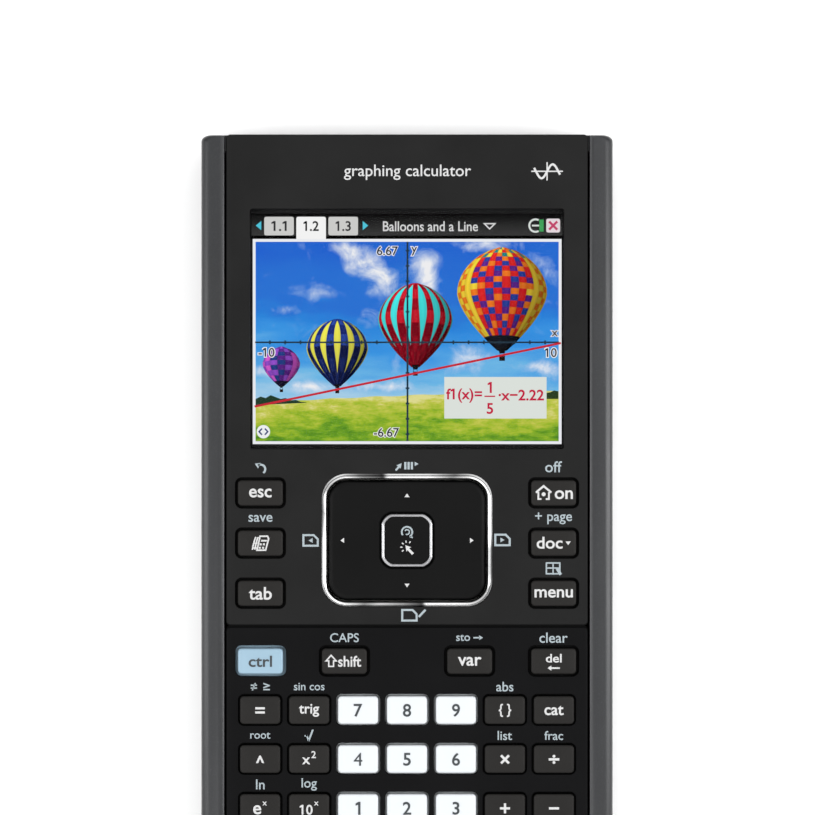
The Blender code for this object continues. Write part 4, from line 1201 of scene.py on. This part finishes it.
def build_deck_marks(ink, keys):
    """The second function printed above a key, the touchpad's icons and the plate's plain words."""
    marks = Print()
    places = {key["name"]: (key["x"], key["y"]) for key in keys}

    def above(name, rise=0.0):
        x, y = places[name]
        lift = 5.15 * MM if name in ("esc", "scratchpad", "home", "doc", "menu") else 4.85 * MM
        return x, y + lift + rise

    for name, text, width in DECK_WORDS:
        centre = above(name, 0.3 * MM if text == "off" else 0.0)
        marks.words(text, centre, SECOND_INK, width * MM, bold=SECOND_BOLD)
    undo_icon(marks, above("esc", 0.1 * MM), SECOND_INK)
    grid_icon(marks, above("menu"), SECOND_INK)
    x, y = above("var")
    marks.words("sto", (x - 1.35 * MM, y), SECOND_INK, 2.9 * MM, bold=SECOND_BOLD)
    stroke(marks, (x, y), [(0.8, 0.0), (2.1, 0.0)], 0.3, SECOND_INK)
    triangle(marks, (x + 2.4 * MM, y), 1.0 * MM, 0.8 * MM, SECOND_INK, -90)
    x, y = PAD_CENTRE
    sheets_icon(marks, (x, y + 15.55 * MM), SECOND_INK)
    checked_page_icon(marks, (x + 1.3 * MM, y - 15.6 * MM), SECOND_INK)
    page_icon(marks, (x - 20.1 * MM, y), SECOND_INK, 90)
    page_icon(marks, (x + 19.9 * MM, y + 0.1 * MM), SECOND_INK, -90)
    name_y = PLATE_HIGH.y - 7.9 * MM
    marks.words("graphing calculator", (0.1 * MM, name_y), WHITE_INK, 26.5 * MM, bold=0.004)
    graph_icon(marks, (29.2 * MM, name_y + 0.2 * MM), WHITE_INK)

    def surface(x, y):
        return PLATE_TOP if y > SEAM_Y else DECK_TOP

    marks.done("front_marks", "housing", "cover_black", ink, surface)


# Touchpad


def build_trim_ring(metal):
    """A bright hoop with a rounded top, on a flange under the cover."""

    def outline(inset):
        return rounded(grown(RING_SIZE, -inset), RING_CORNER - inset, steps=14, centre=PAD_CENTRE)

    rings = prism(outline(-RING_FLANGE), *RING_FLANGE_Z) + [(outline(RING_INSET[0]), RING_FLANGE_Z[1])]
    crown = 0.4 * MM
    for step in range(13):
        angle = pi * step / 12
        inset = RING_INSET[0] + (RING_WALL - sum(RING_INSET)) / 2 * (1 - cos(angle))
        rings.append((outline(inset), RING_TOP - crown + crown * max(0.0, sin(angle)) ** 0.75))
    rings.append((outline(RING_WALL - RING_INSET[1]), RING_FLANGE_Z[0]))
    ring = object_of("trim_ring", lambda mesh: add_hoop(mesh, rings), metal, sharp=60.0)
    finish_piece(ring, "housing", "chrome_trim", "touchpad_ring")


def build_pad(pad_black, ink):
    """The plate that rocks, with an arrow mark on each side."""

    def outline(inset):
        return rounded(grown(PAD_SIZE, -inset), PAD_CORNER - inset * 0.6, steps=12, centre=PAD_CENTRE)

    def well(margin):
        gap = 0.3 * MM + margin
        return rounded(grown(BUTTON_SIZE, gap), BUTTON_CORNER + gap, steps=12, centre=PAD_CENTRE, power=1.7)

    rings = prism(outline(PAD_INSET), PAD_LOW.z, PAD_TOP - PAD_DROP)
    for left, bent in quarter_turn(8)[1:]:
        rings.append((outline(PAD_INSET + PAD_ROLL * bent), PAD_TOP - PAD_DROP * left))
    pad = lofted("pad_plate", [rings], pad_black)
    cut(pad, prism(well(0.0), PAD_LOW.z - MM, PAD_TOP - 0.25 * MM) + [(well(0.75 * MM), PAD_TOP + 0.5 * MM)])
    finish_piece(pad, "touchpad_plate", "pad_black", "touchpad_plate")
    marks = Print()
    for turn, x, y in ((0, 0.0, 9.4), (180, 0.0, -9.4), (90, -13.5, 0.0), (-90, 13.5, 0.0)):
        triangle(marks, moved([(x, y)], PAD_CENTRE)[0], 1.05 * MM, 0.75 * MM, WHITE_INK, turn)
    marks.done("pad_arrows", "touchpad_plate", "pad_black", ink, lambda x, y: PAD_TOP)


def build_pad_button(face_black, trim_metal, ink):
    """The click button: a bright frame round a dark face with two icons."""

    def outline(inset):
        size = grown(BUTTON_SIZE, -inset)
        return rounded(size, BUTTON_CORNER - inset * 0.5, steps=12, centre=PAD_CENTRE, power=1.55)

    face_z = BUTTON_TOP - 0.22 * MM
    rings = prism(outline(-BUTTON_FLANGE), *BUTTON_FLANGE_Z)
    rings += prism(outline(0.02 * MM), BUTTON_FLANGE_Z[1], face_z - 0.5 * MM)
    rings += prism(outline(BUTTON_TRIM), face_z - 0.5 * MM, face_z - 0.1 * MM)
    face = lofted("pad_button_face", [rings + [(outline(BUTTON_TRIM + 0.12 * MM), face_z)]], face_black)
    finish_piece(face, "touchpad_button", "pad_black", "touchpad_button")
    hoop = [(outline(0.0), face_z - 0.48 * MM)]
    crown = 0.25 * MM
    for step in range(9):
        angle = pi * step / 8
        hoop.append((outline(BUTTON_TRIM / 2 * (1 - cos(angle))), BUTTON_TOP - crown + crown * sin(angle)))
    hoop.append((outline(BUTTON_TRIM - 0.01 * MM), face_z - 0.48 * MM))
    trim = object_of("pad_button_trim", lambda mesh: add_hoop(mesh, hoop), trim_metal, sharp=60.0)
    finish_piece(trim, "touchpad_button", "chrome_trim")
    marks = Print()
    grab_icon(marks, (PAD_CENTRE[0], PAD_CENTRE[1] + 1.75 * MM), SECOND_INK)
    pointer_icon(marks, (PAD_CENTRE[0] + 0.1 * MM, PAD_CENTRE[1] - 1.5 * MM), WHITE_INK)
    marks.done("pad_button_icons", "touchpad_button", "pad_black", ink, lambda x, y: face_z)


# Screen. Places are in mm from the screen's middle.


def on_screen(x, y):
    return (SCREEN_CENTRE[0] + x * MM, SCREEN_CENTRE[1] + y * MM)


PICTURE = ((-31.8, -23.4), (31.8, 18.3))


def horizon(x):
    """The field's edge against the sky."""
    return -13.85 + 0.038 * x - 0.0003 * x * x + 0.1 * sin(x * 0.7)


def flat_sheet(name, points, material, level):
    """One thin layer of the picture."""
    z = SCREEN_Z + level * LAYER
    outline = [on_screen(x, y) for x, y in points]
    return finish_piece(lofted(name, [prism(outline, z, z + INK)], material), "housing", "display")


def screen_line(marks, points, width, ink, layer, closed=False):
    """A stroke through places on the screen, its width in mm."""
    marks.line([on_screen(x, y) for x, y in points], width * MM, ink, layer * LAYER, closed)


def screen_patch(marks, points, ink, layer):
    marks.patch([on_screen(x, y) for x, y in points], ink, layer * LAYER)


def screen_box(marks, centre, size, ink, layer):
    marks.patch(rectangle((size[0] * MM, size[1] * MM), on_screen(*centre)), ink, layer * LAYER)


def screen_words(marks, text, centre, ink, width, height, layer, bold):
    """Words on the screen, their box in mm."""
    size = (width and width * MM, height and height * MM)
    marks.words(text, on_screen(*centre), ink, *size, layer * LAYER, bold)


def envelope_radius(share):
    """The balloon's half width, as a share of its largest, from its top (0) to its mouth (1)."""
    shoulder = 0.38
    if share < shoulder:
        return sqrt(max(0.0, 1 - ((shoulder - share) / shoulder) ** 2))
    return 1 - 0.9 * ((share - shoulder) / (1 - shoulder)) ** 1.5


def envelope_place(balloon, angle, share):
    """Where the envelope is at an angle across its front and a share of the way down."""
    radius = balloon["width"] / 2 * envelope_radius(share)
    x = balloon["x"] + radius * sin(angle)
    y = balloon["top"] + (balloon["mouth"] - balloon["top"]) * share
    return on_screen(x, y - 0.16 * radius * (1 - cos(angle)))


def envelope_light(angle, share):
    """How bright the envelope is: it is lit from the upper left."""
    return (0.34 + 0.74 * max(0.0, cos(angle + 0.5))) * (1.14 - 0.5 * share)


def balloon_body(marks, balloon, level, colour_at):
    """The envelope in cells, with a darker seam between gores, then its mouth and basket."""
    columns, rows = 2 * balloon["gores"], balloon["rows"]
    angles = [(column / columns - 0.5) * pi * 0.995 for column in range(columns + 1)]
    shares = [0.002 + 0.998 * (row / rows) ** 1.35 for row in range(rows + 1)]
    grid = [[envelope_place(balloon, angle, share) for angle in angles] for share in shares]

    def ink_at(row, column, cell):
        seam = 0.8 if column % 2 == 0 else 1.06
        return scaled(colour_at(cell[1] // 2, cell[0]), seam * envelope_light(angles[column], shares[row]))

    marks.sheet(grid, level * LAYER, ink_at)
    width, mouth, x, dark = balloon["width"], balloon["mouth"], balloon["x"], srgb(18, 18, 22)
    half, skirt, basket = width / 2 * envelope_radius(1.0), 0.035 * width, max(0.6, 0.055 * width)
    scoop = [(-half, 0.03 * width), (-half * 0.55, -skirt), (half * 0.55, -skirt), (half, 0.03 * width)]
    screen_patch(marks, [(x + across, mouth + up) for across, up in scoop], dark, level + 1.8)
    top = mouth - skirt - 0.5 * basket
    screen_box(marks, (x, top - basket / 2), (basket * 1.15, basket), srgb(36, 24, 22), level)
    for side in (-0.5, 0.5):
        ends = [(x + side * basket, top), (x + side * basket * 0.8, mouth - skirt)]
        screen_line(marks, ends, 0.1, dark, level)


def teardrops(marks, balloon, level, ink, span, breadth):
    """A tapering stripe on every other gore, broad on the shoulder and thin below."""
    gores, rows = balloon["gores"], 16
    for gore in range(0, gores, 2):
        middle = ((gore + 0.5) / gores - 0.5) * pi
        grid, lights = [], []
        for row in range(rows + 1):
            way = row / rows
            share = span[0] + (span[1] - span[0]) * way
            reach = pi / gores / 2 * breadth * max(0.05, sin(pi * way**0.55) ** 0.8)
            angles = [middle - reach, middle, middle + reach]
            grid.append([envelope_place(balloon, angle, share) for angle in angles])
            lights.append([envelope_light(angle, share) for angle in angles])

        def ink_at(row, column, _, lights=lights):
            return scaled(ink, lights[row][column] * (1.08 if column == 1 else 0.94))

        marks.sheet(grid, level * LAYER, ink_at)


def quilted(gores, rows, crown, sides, middle, foot):
    """Colours by row and gore: a crown, bright sides round a darker middle, and a dark foot."""

    def colour_at(gore, row):
        across, down = abs(gore + 0.5 - gores / 2) / (gores / 2), row / rows
        inner = sides if across > 0.42 + 0.3 * abs(down - 0.45) else middle
        choice = crown if down < 0.16 else foot if down > 0.86 else inner
        return choice[(gore + row // 2 + row) % len(choice)]

    return colour_at


def mixed_cells(bands):
    """Colours by row and gore. Each band lists the colours that alternate from gore to gore."""

    def colour_at(gore, row):
        band = bands[min(row, len(bands) - 1)]
        return band[(gore + row // 2) % len(band)]

    return colour_at


def haloed(marks, text, centre, height, ink, layer):
    """Small dark text with a pale edge."""
    screen_words(marks, text, centre, srgb(250, 250, 252), None, height * 1.2, layer, 0.07)
    screen_words(marks, text, centre, ink, None, height, layer + 1, 0.01)


def build_screen(glow):
    (left, foot), (right, top) = PICTURE
    flat_sheet("screen_sky", [(left, foot), (right, foot), (right, top), (left, top)], sky(), 1)
    edge = [right - (right - left) / 40 * index for index in range(41)]
    flat_sheet("screen_field", [(left, foot), (right, foot)] + [(x, horizon(x)) for x in edge], meadow(), 2)
    build_header(glow)
    build_picture(glow)
    build_graph(glow)


def build_header(glow):
    """The dark bar over the picture with its page tabs, title and icons, and the picture's frame."""
    marks = Print()
    half_x, half_y, foot = SCREEN_HALF[0] / MM, SCREEN_HALF[1] / MM, 19.6
    black, pale, grey_line = srgb(2, 2, 2), srgb(225, 232, 228), srgb(230, 230, 230)
    marks.fade(on_screen(-half_x, foot), on_screen(half_x, half_y), (srgb(58, 58, 58), srgb(0, 0, 0)))
    marks.fade(on_screen(-half_x, 18.5), on_screen(half_x, foot), (black, black))
    frame_edge = ((-32.0, -23.75), (32.05, -23.75), (32.05, 18.6), (-32.0, 18.6))
    screen_line(marks, frame_edge, 0.6, srgb(246, 248, 252), 5, closed=True)
    for index in range(3):
        middle = 6.72 * index - 26.8
        low, ink, text = 19.65, srgb(214, 214, 212), srgb(52, 52, 54)
        if index == 1:
            low, ink, text = 18.6, srgb(255, 255, 255), srgb(16, 16, 20)
        size = (6.2 * MM, (23.55 - low) * MM)
        marks.patch(rounded(size, 0.4 * MM, 4, on_screen(middle, (23.55 + low) / 2)), ink, LAYER)
        screen_words(marks, f"1.{index + 1}", (middle, 21.6), text, 3.2, 2.1, 2, LEGEND_BOLD)
    for x, turn in ((-31.1, 90), (-8.7, -90)):
        triangle(marks, on_screen(x, 21.7), 1.9 * MM, 1.15 * MM, srgb(84, 204, 226), turn, 2 * LAYER)
    screen_words(marks, "Balloons and a Line", (4.9, 21.55), srgb(225, 225, 225), 19.9, 2.1, 2, 0.01)
    screen_line(marks, ((16.2, 22.1), (18.4, 22.1), (17.3, 21.0)), 0.26, grey_line, 2, closed=True)
    marks.line(arc(on_screen(26.9, 21.7), 1.3 * MM, 60, 300, 20), 0.4 * MM, pale, 2 * LAYER)
    screen_box(marks, (28.15, 21.7), (0.9, 2.5), srgb(70, 170, 96), 3)
    screen_box(marks, (26.9, 21.7), (1.5, 0.36), pale, 3)
    box = rounded((2.9 * MM, 2.9 * MM), 0.4 * MM, 4, on_screen(30.6, 21.7))
    marks.patch(box, srgb(238, 226, 232), 2 * LAYER)
    for tilt in (1, -1):
        cross = [(30.6 - 0.85, 21.7 - 0.85 * tilt), (30.6 + 0.85, 21.7 + 0.85 * tilt)]
        screen_line(marks, cross, 0.5, srgb(206, 72, 112), 4 + tilt)
    marks.done("screen_header", "housing", "display", glow, lambda x, y: SCREEN_Z)


def build_picture(glow):
    """Trees on the horizon and four balloons, smallest on the left."""
    marks = Print()
    crowns = (-14.4, -13.9, -14.2, -13.6, -14.0, -14.4, -14.2, -14.7, -14.6, -15.0, -15.1)
    tree_tops = [(-31.7 + 1.05 * index, top - 0.2) for index, top in enumerate(crowns)]
    screen_patch(marks, [(-31.7, -15.9), (-21.0, -15.4)] + tree_tops[::-1], srgb(36, 62, 44), 3)
    right_trees = [(28.6, -14.6), (31.7, -14.6), (31.7, -13.0), (30.8, -12.8), (30.0, -13.2), (29.2, -13.3)]
    screen_patch(marks, right_trees, srgb(44, 64, 36), 3)
    pink, violet, plum, navy = srgb(222, 96, 214), srgb(150, 80, 206), srgb(96, 40, 140), srgb(40, 64, 136)
    purple = {"x": -26.3, "top": -3.6, "mouth": -12.0, "width": 7.9, "gores": 7, "rows": 9}
    night = srgb(30, 22, 52)
    cells = quilted(7, 9, [plum, violet], [pink, violet, pink], [navy, plum, violet], [night])
    balloon_body(marks, purple, 4, cells)

    yellow = {"x": -14.6, "top": 2.2, "mouth": -11.9, "width": 12.9, "gores": 13, "rows": 12}
    upper, foot = [srgb(30, 44, 118), srgb(44, 72, 164)], [srgb(20, 28, 76), srgb(30, 46, 110)]
    balloon_body(marks, yellow, 5, mixed_cells([upper] * 6 + [foot]))
    teardrops(marks, yellow, 6, srgb(236, 230, 84), (0.03, 0.8), 0.95)

    red = {"x": 1.75, "top": 9.7, "mouth": -7.9, "width": 15.6, "gores": 15, "rows": 14}
    upper, foot = [srgb(206, 30, 46), srgb(160, 14, 32)], [srgb(170, 18, 38), srgb(132, 10, 28)]
    balloon_body(marks, red, 6, mixed_cells([upper] * 8 + [foot]))
    teardrops(marks, red, 7, srgb(70, 226, 226), (0.02, 0.74), 1.1)

    crimson, orange, gold = srgb(226, 40, 42), srgb(248, 126, 38), srgb(252, 216, 62)
    teal, blue = srgb(36, 132, 132), srgb(46, 66, 160)
    rainbow = {"x": 19.9, "top": 17.2, "mouth": -4.4, "width": 18.9, "gores": 16, "rows": 18}
    middle = [crimson, plum, orange, crimson, blue]
    cells = quilted(16, 18, [gold, crimson, orange, teal], [gold, gold, orange], middle, [srgb(26, 30, 40)])
    balloon_body(marks, rainbow, 7, cells)
    marks.done("screen_balloons", "housing", "display", glow, lambda x, y: SCREEN_Z)


def build_graph(glow):
    """The axes, the fitted line and its formula, over the picture."""
    marks = Print()
    low, high = PICTURE
    axis, red, dark = srgb(38, 58, 74), srgb(204, 36, 70), srgb(44, 48, 60)
    across, up, spacing, tick = -2.75, 0.1, 3.2, 0.4
    screen_line(marks, [(low[0], across), (high[0], across)], 0.34, axis, 10)
    screen_line(marks, [(up, low[1]), (up, high[1])], 0.4, axis, 11)
    ticks = []
    for index in range(-9, 10):
        if index:
            x = up + index * spacing
            ticks.append([(x, across - tick), (x, across + tick)])
    for index in range(-6, 7):
        y = across + index * spacing
        if index and low[1] + 1 < y < high[1] - 1:
            ticks.append([(up - tick, y), (up + tick, y)])
    for ends in ticks:
        screen_line(marks, ends, 0.34, axis, 9)
    screen_line(marks, [(-31.9, -16.2), (32.2, -2.9)], 0.46, srgb(206, 44, 58), 12)
    screen_box(marks, (18.5, -14.35), (21.4, 8.7), srgb(230, 236, 230), 13)
    screen_line(marks, [(16.2, -14.05), (18.45, -14.05)], 0.28, red, 14)
    for text, centre, width, height in (
        ("f1(x)=", (11.95, -13.9), 7.5, 3.0),
        ("1", (17.3, -12.2), None, 2.3),
        ("5", (17.35, -16.6), None, 2.3),
        ("·x−2.22", (23.9, -13.8), 9.5, 2.3),
    ):
        screen_words(marks, text, centre, red, width, height, 14, 0.02)
    for label, place, tall in (
        ("6.67", (-4.1, 16.4), 1.9),
        ("y", (1.5, 16.3), 1.8),
        ("-6.67", (-4.3, -21.6), 1.9),
        ("-10", (-29.4, -4.85), 1.9),
        ("10", (30.1, -4.9), 1.9),
        ("x", (30.9, -0.9), 1.2),
    ):
        haloed(marks, label, place, tall, dark, 13)
    x, y = -30.05, -21.45
    marks.patch(circle(1.4 * MM, on_screen(x, y), 32), srgb(248, 250, 252), 13 * LAYER)
    for side in (-1, 1):
        tip = [(x + side * 0.3, y + 0.65), (x + side * 0.9, y), (x + side * 0.3, y - 0.65)]
        screen_line(marks, tip, 0.3, srgb(40, 60, 120), 14)
    marks.done("screen_graph", "housing", "display", glow, lambda x, y: SCREEN_Z)


# Ports, screws and the back


def build_ports(steel, black, gold):
    """The charging socket's folded shell and tongue, and the dock's contacts."""
    low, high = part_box("usb_connector")
    centre_x, centre_z = (low.x + high.x) / 2, (low.z + high.z) / 2

    def upright(points, y):
        """A ring across the socket at that depth."""
        return [(x + centre_x, y, z + centre_z) for x, z in points]

    def shell(inset):
        half, up = (high.x - low.x) / 2 - inset, (high.z - low.z) / 2 - inset
        foot, bend = half - 1.1 * MM, -0.2 * MM
        return [(half, up), (-half, up), (-half, bend), (-foot, -up), (foot, -up), (half, bend)]

    outer, inner = shell(0.0), shell(0.4 * MM)
    rings = [upright(outer, low.y), upright(outer, high.y), upright(inner, high.y)]
    rings.append(upright(inner, low.y + 0.5 * MM))
    finish_piece(lofted("socket_shell", [rings], steel, sharp=20.0), "housing", "steel", "usb_connector")
    whole, trimmed = rectangle(TONGUE_SIZE), rectangle(grown(TONGUE_SIZE, -0.15 * MM))
    rings = [upright(whole, low.y + 0.3 * MM), upright(whole, high.y - 1.5 * MM)]
    rings.append(upright(trimmed, high.y - 1.2 * MM))
    finish_piece(lofted("socket_tongue", [rings], black), "housing", "cover_black")
    dock_low, dock_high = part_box("dock_connector")
    dock_z, tongue_z = (dock_low.z + dock_high.z) / 2, centre_z - TONGUE_SIZE[1] / 2
    contacts = []
    for index in range(12):
        middle = ((index - 5.5) * 1.55 * MM, dock_low.y + 1.3 * MM)
        outline = rounded((0.8 * MM, 2.2 * MM), 0.2 * MM, 3, middle)
        contacts.append(prism(outline, dock_z - 0.88 * MM, dock_z - 0.6 * MM))
    for index in range(5):
        outline = rectangle((0.4 * MM, 3.0 * MM), (centre_x + (index - 2) * 0.9 * MM, high.y - 3.2 * MM))
        contacts.append(prism(outline, tongue_z - 0.1 * MM, tongue_z + 0.02 * MM))
    finish_piece(lofted("gold_contacts", contacts, gold), "housing", "steel")


def lobed(radius, centre, steps):
    """A six-lobed driver outline."""
    angles = [2 * pi * step / steps for step in range(steps)]
    reaches = [(radius * (1 + 0.16 * cos(6 * angle)), angle) for angle in angles]
    return [(centre[0] + reach * cos(angle), centre[1] + reach * sin(angle)) for reach, angle in reaches]


def build_screws(steel):
    """Four case screws and two door screws, each with a six-lobed recess."""
    for number in range(1, 5):
        node = f"case_screw_{number}"
        low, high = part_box(node)
        rings = screw_rings(centre_of(node), low.z, high.z, (high.x - low.x) / 2, 1.0 * MM)
        finish_piece(lofted(f"case_screw_turned_{number}", [rings], steel), "housing", "steel", node)
    sizes = (0.56 * MM, 4.4 * MM, 1.9 * MM, 0.75 * MM, 0.3 * MM)
    solids = [screw_rings(place, *sizes) for place in DOOR_SCREWS]
    finish_piece(lofted("door_screws", solids, steel), "housing", "steel")


def screw_rings(place, low, high, head, shank, head_height=1.55 * MM):
    """Rings of a screw that points up, from the bottom of its recess out over its head to its tip."""
    steps, turns = 36, 9
    top = low + head_height
    rings = [
        (lobed(head * 0.42, place, steps), low + min(0.9 * MM, head_height * 0.7)),
        (lobed(head * 0.45, place, steps), low),
        (circle(head * 0.9, place, steps), low),
        (circle(head, place, steps), low + head_height * 0.3),
        (circle(head, place, steps), top),
        (circle(shank, place, steps), top),
    ]
    length = high - low - head_height - 0.8 * MM
    for index in range(2 * turns):
        z = top + 0.4 * MM + length * (index + 0.5) / (2 * turns)
        rings.append((circle(shank * (0.82 if index % 2 else 1.0), place, steps), z))
    return rings + [(circle(shank * 0.4, place, steps), high)]


def build_door(paint, label_paper):
    """The battery door with soft edges, and a blank label above it."""
    low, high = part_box("battery_door")
    size, centre = size_of("battery_door"), centre_of("battery_door")
    rings = []
    for left, bent in quarter_turn(4):
        inset = 0.25 * MM * left
        outline = rounded(grown(size, -inset), 1.7 * MM - inset, centre=centre)
        rings.append((outline, low.z + 0.25 * MM * bent))
    rings.append((rounded(size, 1.7 * MM, centre=centre), high.z - 0.4 * MM))
    door = lofted("door_panel", [rings], paint)
    holes = [prism(circle(2.1 * MM, place), -MM, 0.9 * MM) for place in DOOR_SCREWS]
    for index in range(4):
        middle = (0.0, centre[1] + 22 * MM + index * 1.7 * MM)
        groove = rounded((18 * MM, 0.8 * MM), 0.39 * MM, 4, middle)
        holes.append(prism(groove, -MM, low.z + 0.3 * MM))
    cut(door, *holes)
    finish_piece(door, "housing", "rail_grey", "battery_door")
    label = prism(rounded(LABEL_SIZE, 0.8 * MM, centre=LABEL_CENTRE), BACK_Z + 0.1 * MM, BACK_Z + 0.22 * MM)
    finish_piece(lofted("blank_label", [label], label_paper), "housing", "rail_grey")


def dress_cad_nodes(finishes):
    """New materials for the CAD nodes that stay."""
    for node, material in finishes.items():
        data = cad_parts[node].data
        data.materials.clear()
        data.materials.append(material)


# Studio


def build_studio():
    """A pale floor, a soft sky and wide lamps."""
    scene = bpy.context.scene

    def build(mesh):
        mesh.faces.new([mesh.verts.new((x, y, 0.0)) for x, y in rectangle((8.0, 8.0))])

    object_of("floor", build, floor_material())
    scene.world = bpy.data.worlds.new("studio")
    scene.world.use_nodes = True
    tree = scene.world.node_tree
    height = part_of(tree, add(tree, "ShaderNodeTexCoord").outputs["Generated"], "Z")
    background = tree.nodes["Background"]
    background.inputs["Strength"].default_value = 0.8
    feed(tree, background, {"Color": ramp(tree, height, [(0.0, grey(0.4)), (0.8, grey(1.1))])})
    for name, place, size, power in LAMPS:
        data = bpy.data.lights.new(name, "AREA")
        data.shape = "RECTANGLE"
        data.size, data.size_y = size
        data.energy = power
        lamp = bpy.data.objects.new(name, data)
        lamp.location = place
        lamp.rotation_euler = (Vector((0, 0.02, 0.01)) - Vector(place)).to_track_quat("-Z", "Y").to_euler()
        scene.collection.objects.link(lamp)
    scene.view_settings.view_transform = "Standard"


def build_camera():
    """Straight down on the display end, from far enough to look almost parallel."""
    data = bpy.data.cameras.new("camera")
    data.lens = CAMERA_LENS
    data.sensor_width = CAMERA_SENSOR
    data.clip_start = 0.01
    camera = bpy.data.objects.new("camera", data)
    camera.location = (*VIEW_CENTRE, PLATE_TOP + VIEW_WIDTH * CAMERA_LENS / CAMERA_SENSOR)
    bpy.context.scene.collection.objects.link(camera)
    bpy.context.scene.camera = camera


def main():
    rim = 0.1 * MM
    paint, ink, glow = rail_paint(), printed(), glowing("screen_glow")
    # The walls of the cover's holes, of the rail gap and of the seam are painted dark below the top: painted
    # shade.
    plate_black = plastic("plate_black", srgb(28, 28, 28), 0.5, specular=0.05, painted_shade_below=PLATE_TOP - rim)
    deck_black = plastic("deck_black", srgb(11, 11, 12), 0.45, specular=0.05, painted_shade_below=DECK_TOP - rim)
    smooth = {"grain": 0.15, "depth": 0.003, "specular": 0.06}
    # The pad's rolled edge next to the ring is painted dark: painted shade.
    pad_black = plastic("pad_black", srgb(13, 13, 13), 0.4, **smooth, painted_shade_below=PAD_TOP - 1.5 * rim)
    face_black = plastic("face_black", srgb(13, 13, 13), 0.4, **smooth)
    # The caps' sides under their rounded edge are painted dark: painted shade in the gaps round the keys.
    side = KEY_TOP - KEY_CROWN - 0.75 * KEY_EDGE
    satin = {"grain": 0.18, "depth": 0.004, "specular": 0.07}
    key_finishes = {
        "key_black": plastic("key_black", srgb(34, 33, 32), 0.45, **satin, painted_shade_below=side),
        "key_white": plastic("key_white", srgb(196, 200, 203), 0.42, depth=0.003, mottle=0.02),
        "key_grey": plastic("key_grey", srgb(104, 106, 108), 0.42, depth=0.003, mottle=0.06),
        "key_blue": plastic("key_blue", srgb(131, 158, 175), 0.4, depth=0.003, mottle=0.03),
    }
    steel = plated("turned_steel", (0.55, 0.55, 0.57, 1.0), 0.25)
    gold = plated("contact_gold", (0.9, 0.66, 0.28, 1.0), 0.2)
    trim_metal = plated("button_plating", (0.36, 0.36, 0.37, 1.0), 0.3)
    board = plastic("board_mask", srgb(22, 84, 44), 0.35, grain=0.6, depth=0.01)
    keys, rows = key_list(), row_list()

    build_camera()
    build_case(paint)
    build_feet(plastic("foot_rubber", srgb(38, 38, 39), 0.8, depth=0.01))
    build_front(plate_black, deck_black, keys, rows)
    for key in keys:
        build_key(key, key_finishes[key["slot"]])
    for row in rows:
        build_letter_row(row, key_finishes["key_grey"])
    build_keypad_mat(plastic("silicone", srgb(120, 120, 116), 0.7, grain=0.3), keys, rows)
    build_legends(ink, keys, rows)
    build_deck_marks(ink, keys)
    build_trim_ring(ring_plating_painted_reflections())
    build_pad(pad_black, ink)
    build_pad_button(face_black, trim_metal, ink)
    build_screen(glow)
    build_ports(steel, face_black, gold)
    build_screws(steel)
    build_door(paint, plastic("label_paper", srgb(176, 178, 180), 0.6, depth=0.001, mottle=0.03))
    finishes = {
        "display_window": clear_lens(),
        "lcd_module": plastic("panel_frame", srgb(14, 14, 15), 0.5, specular=0.1),
        "main_board": board,
        "touchpad_carrier": board,
        "battery": plastic("battery_wrap", srgb(46, 46, 50), 0.35),
        "dock_connector": face_black,
        "reset_button": key_finishes["key_grey"],
    }
    dress_cad_nodes(finishes)
    build_studio()


main()
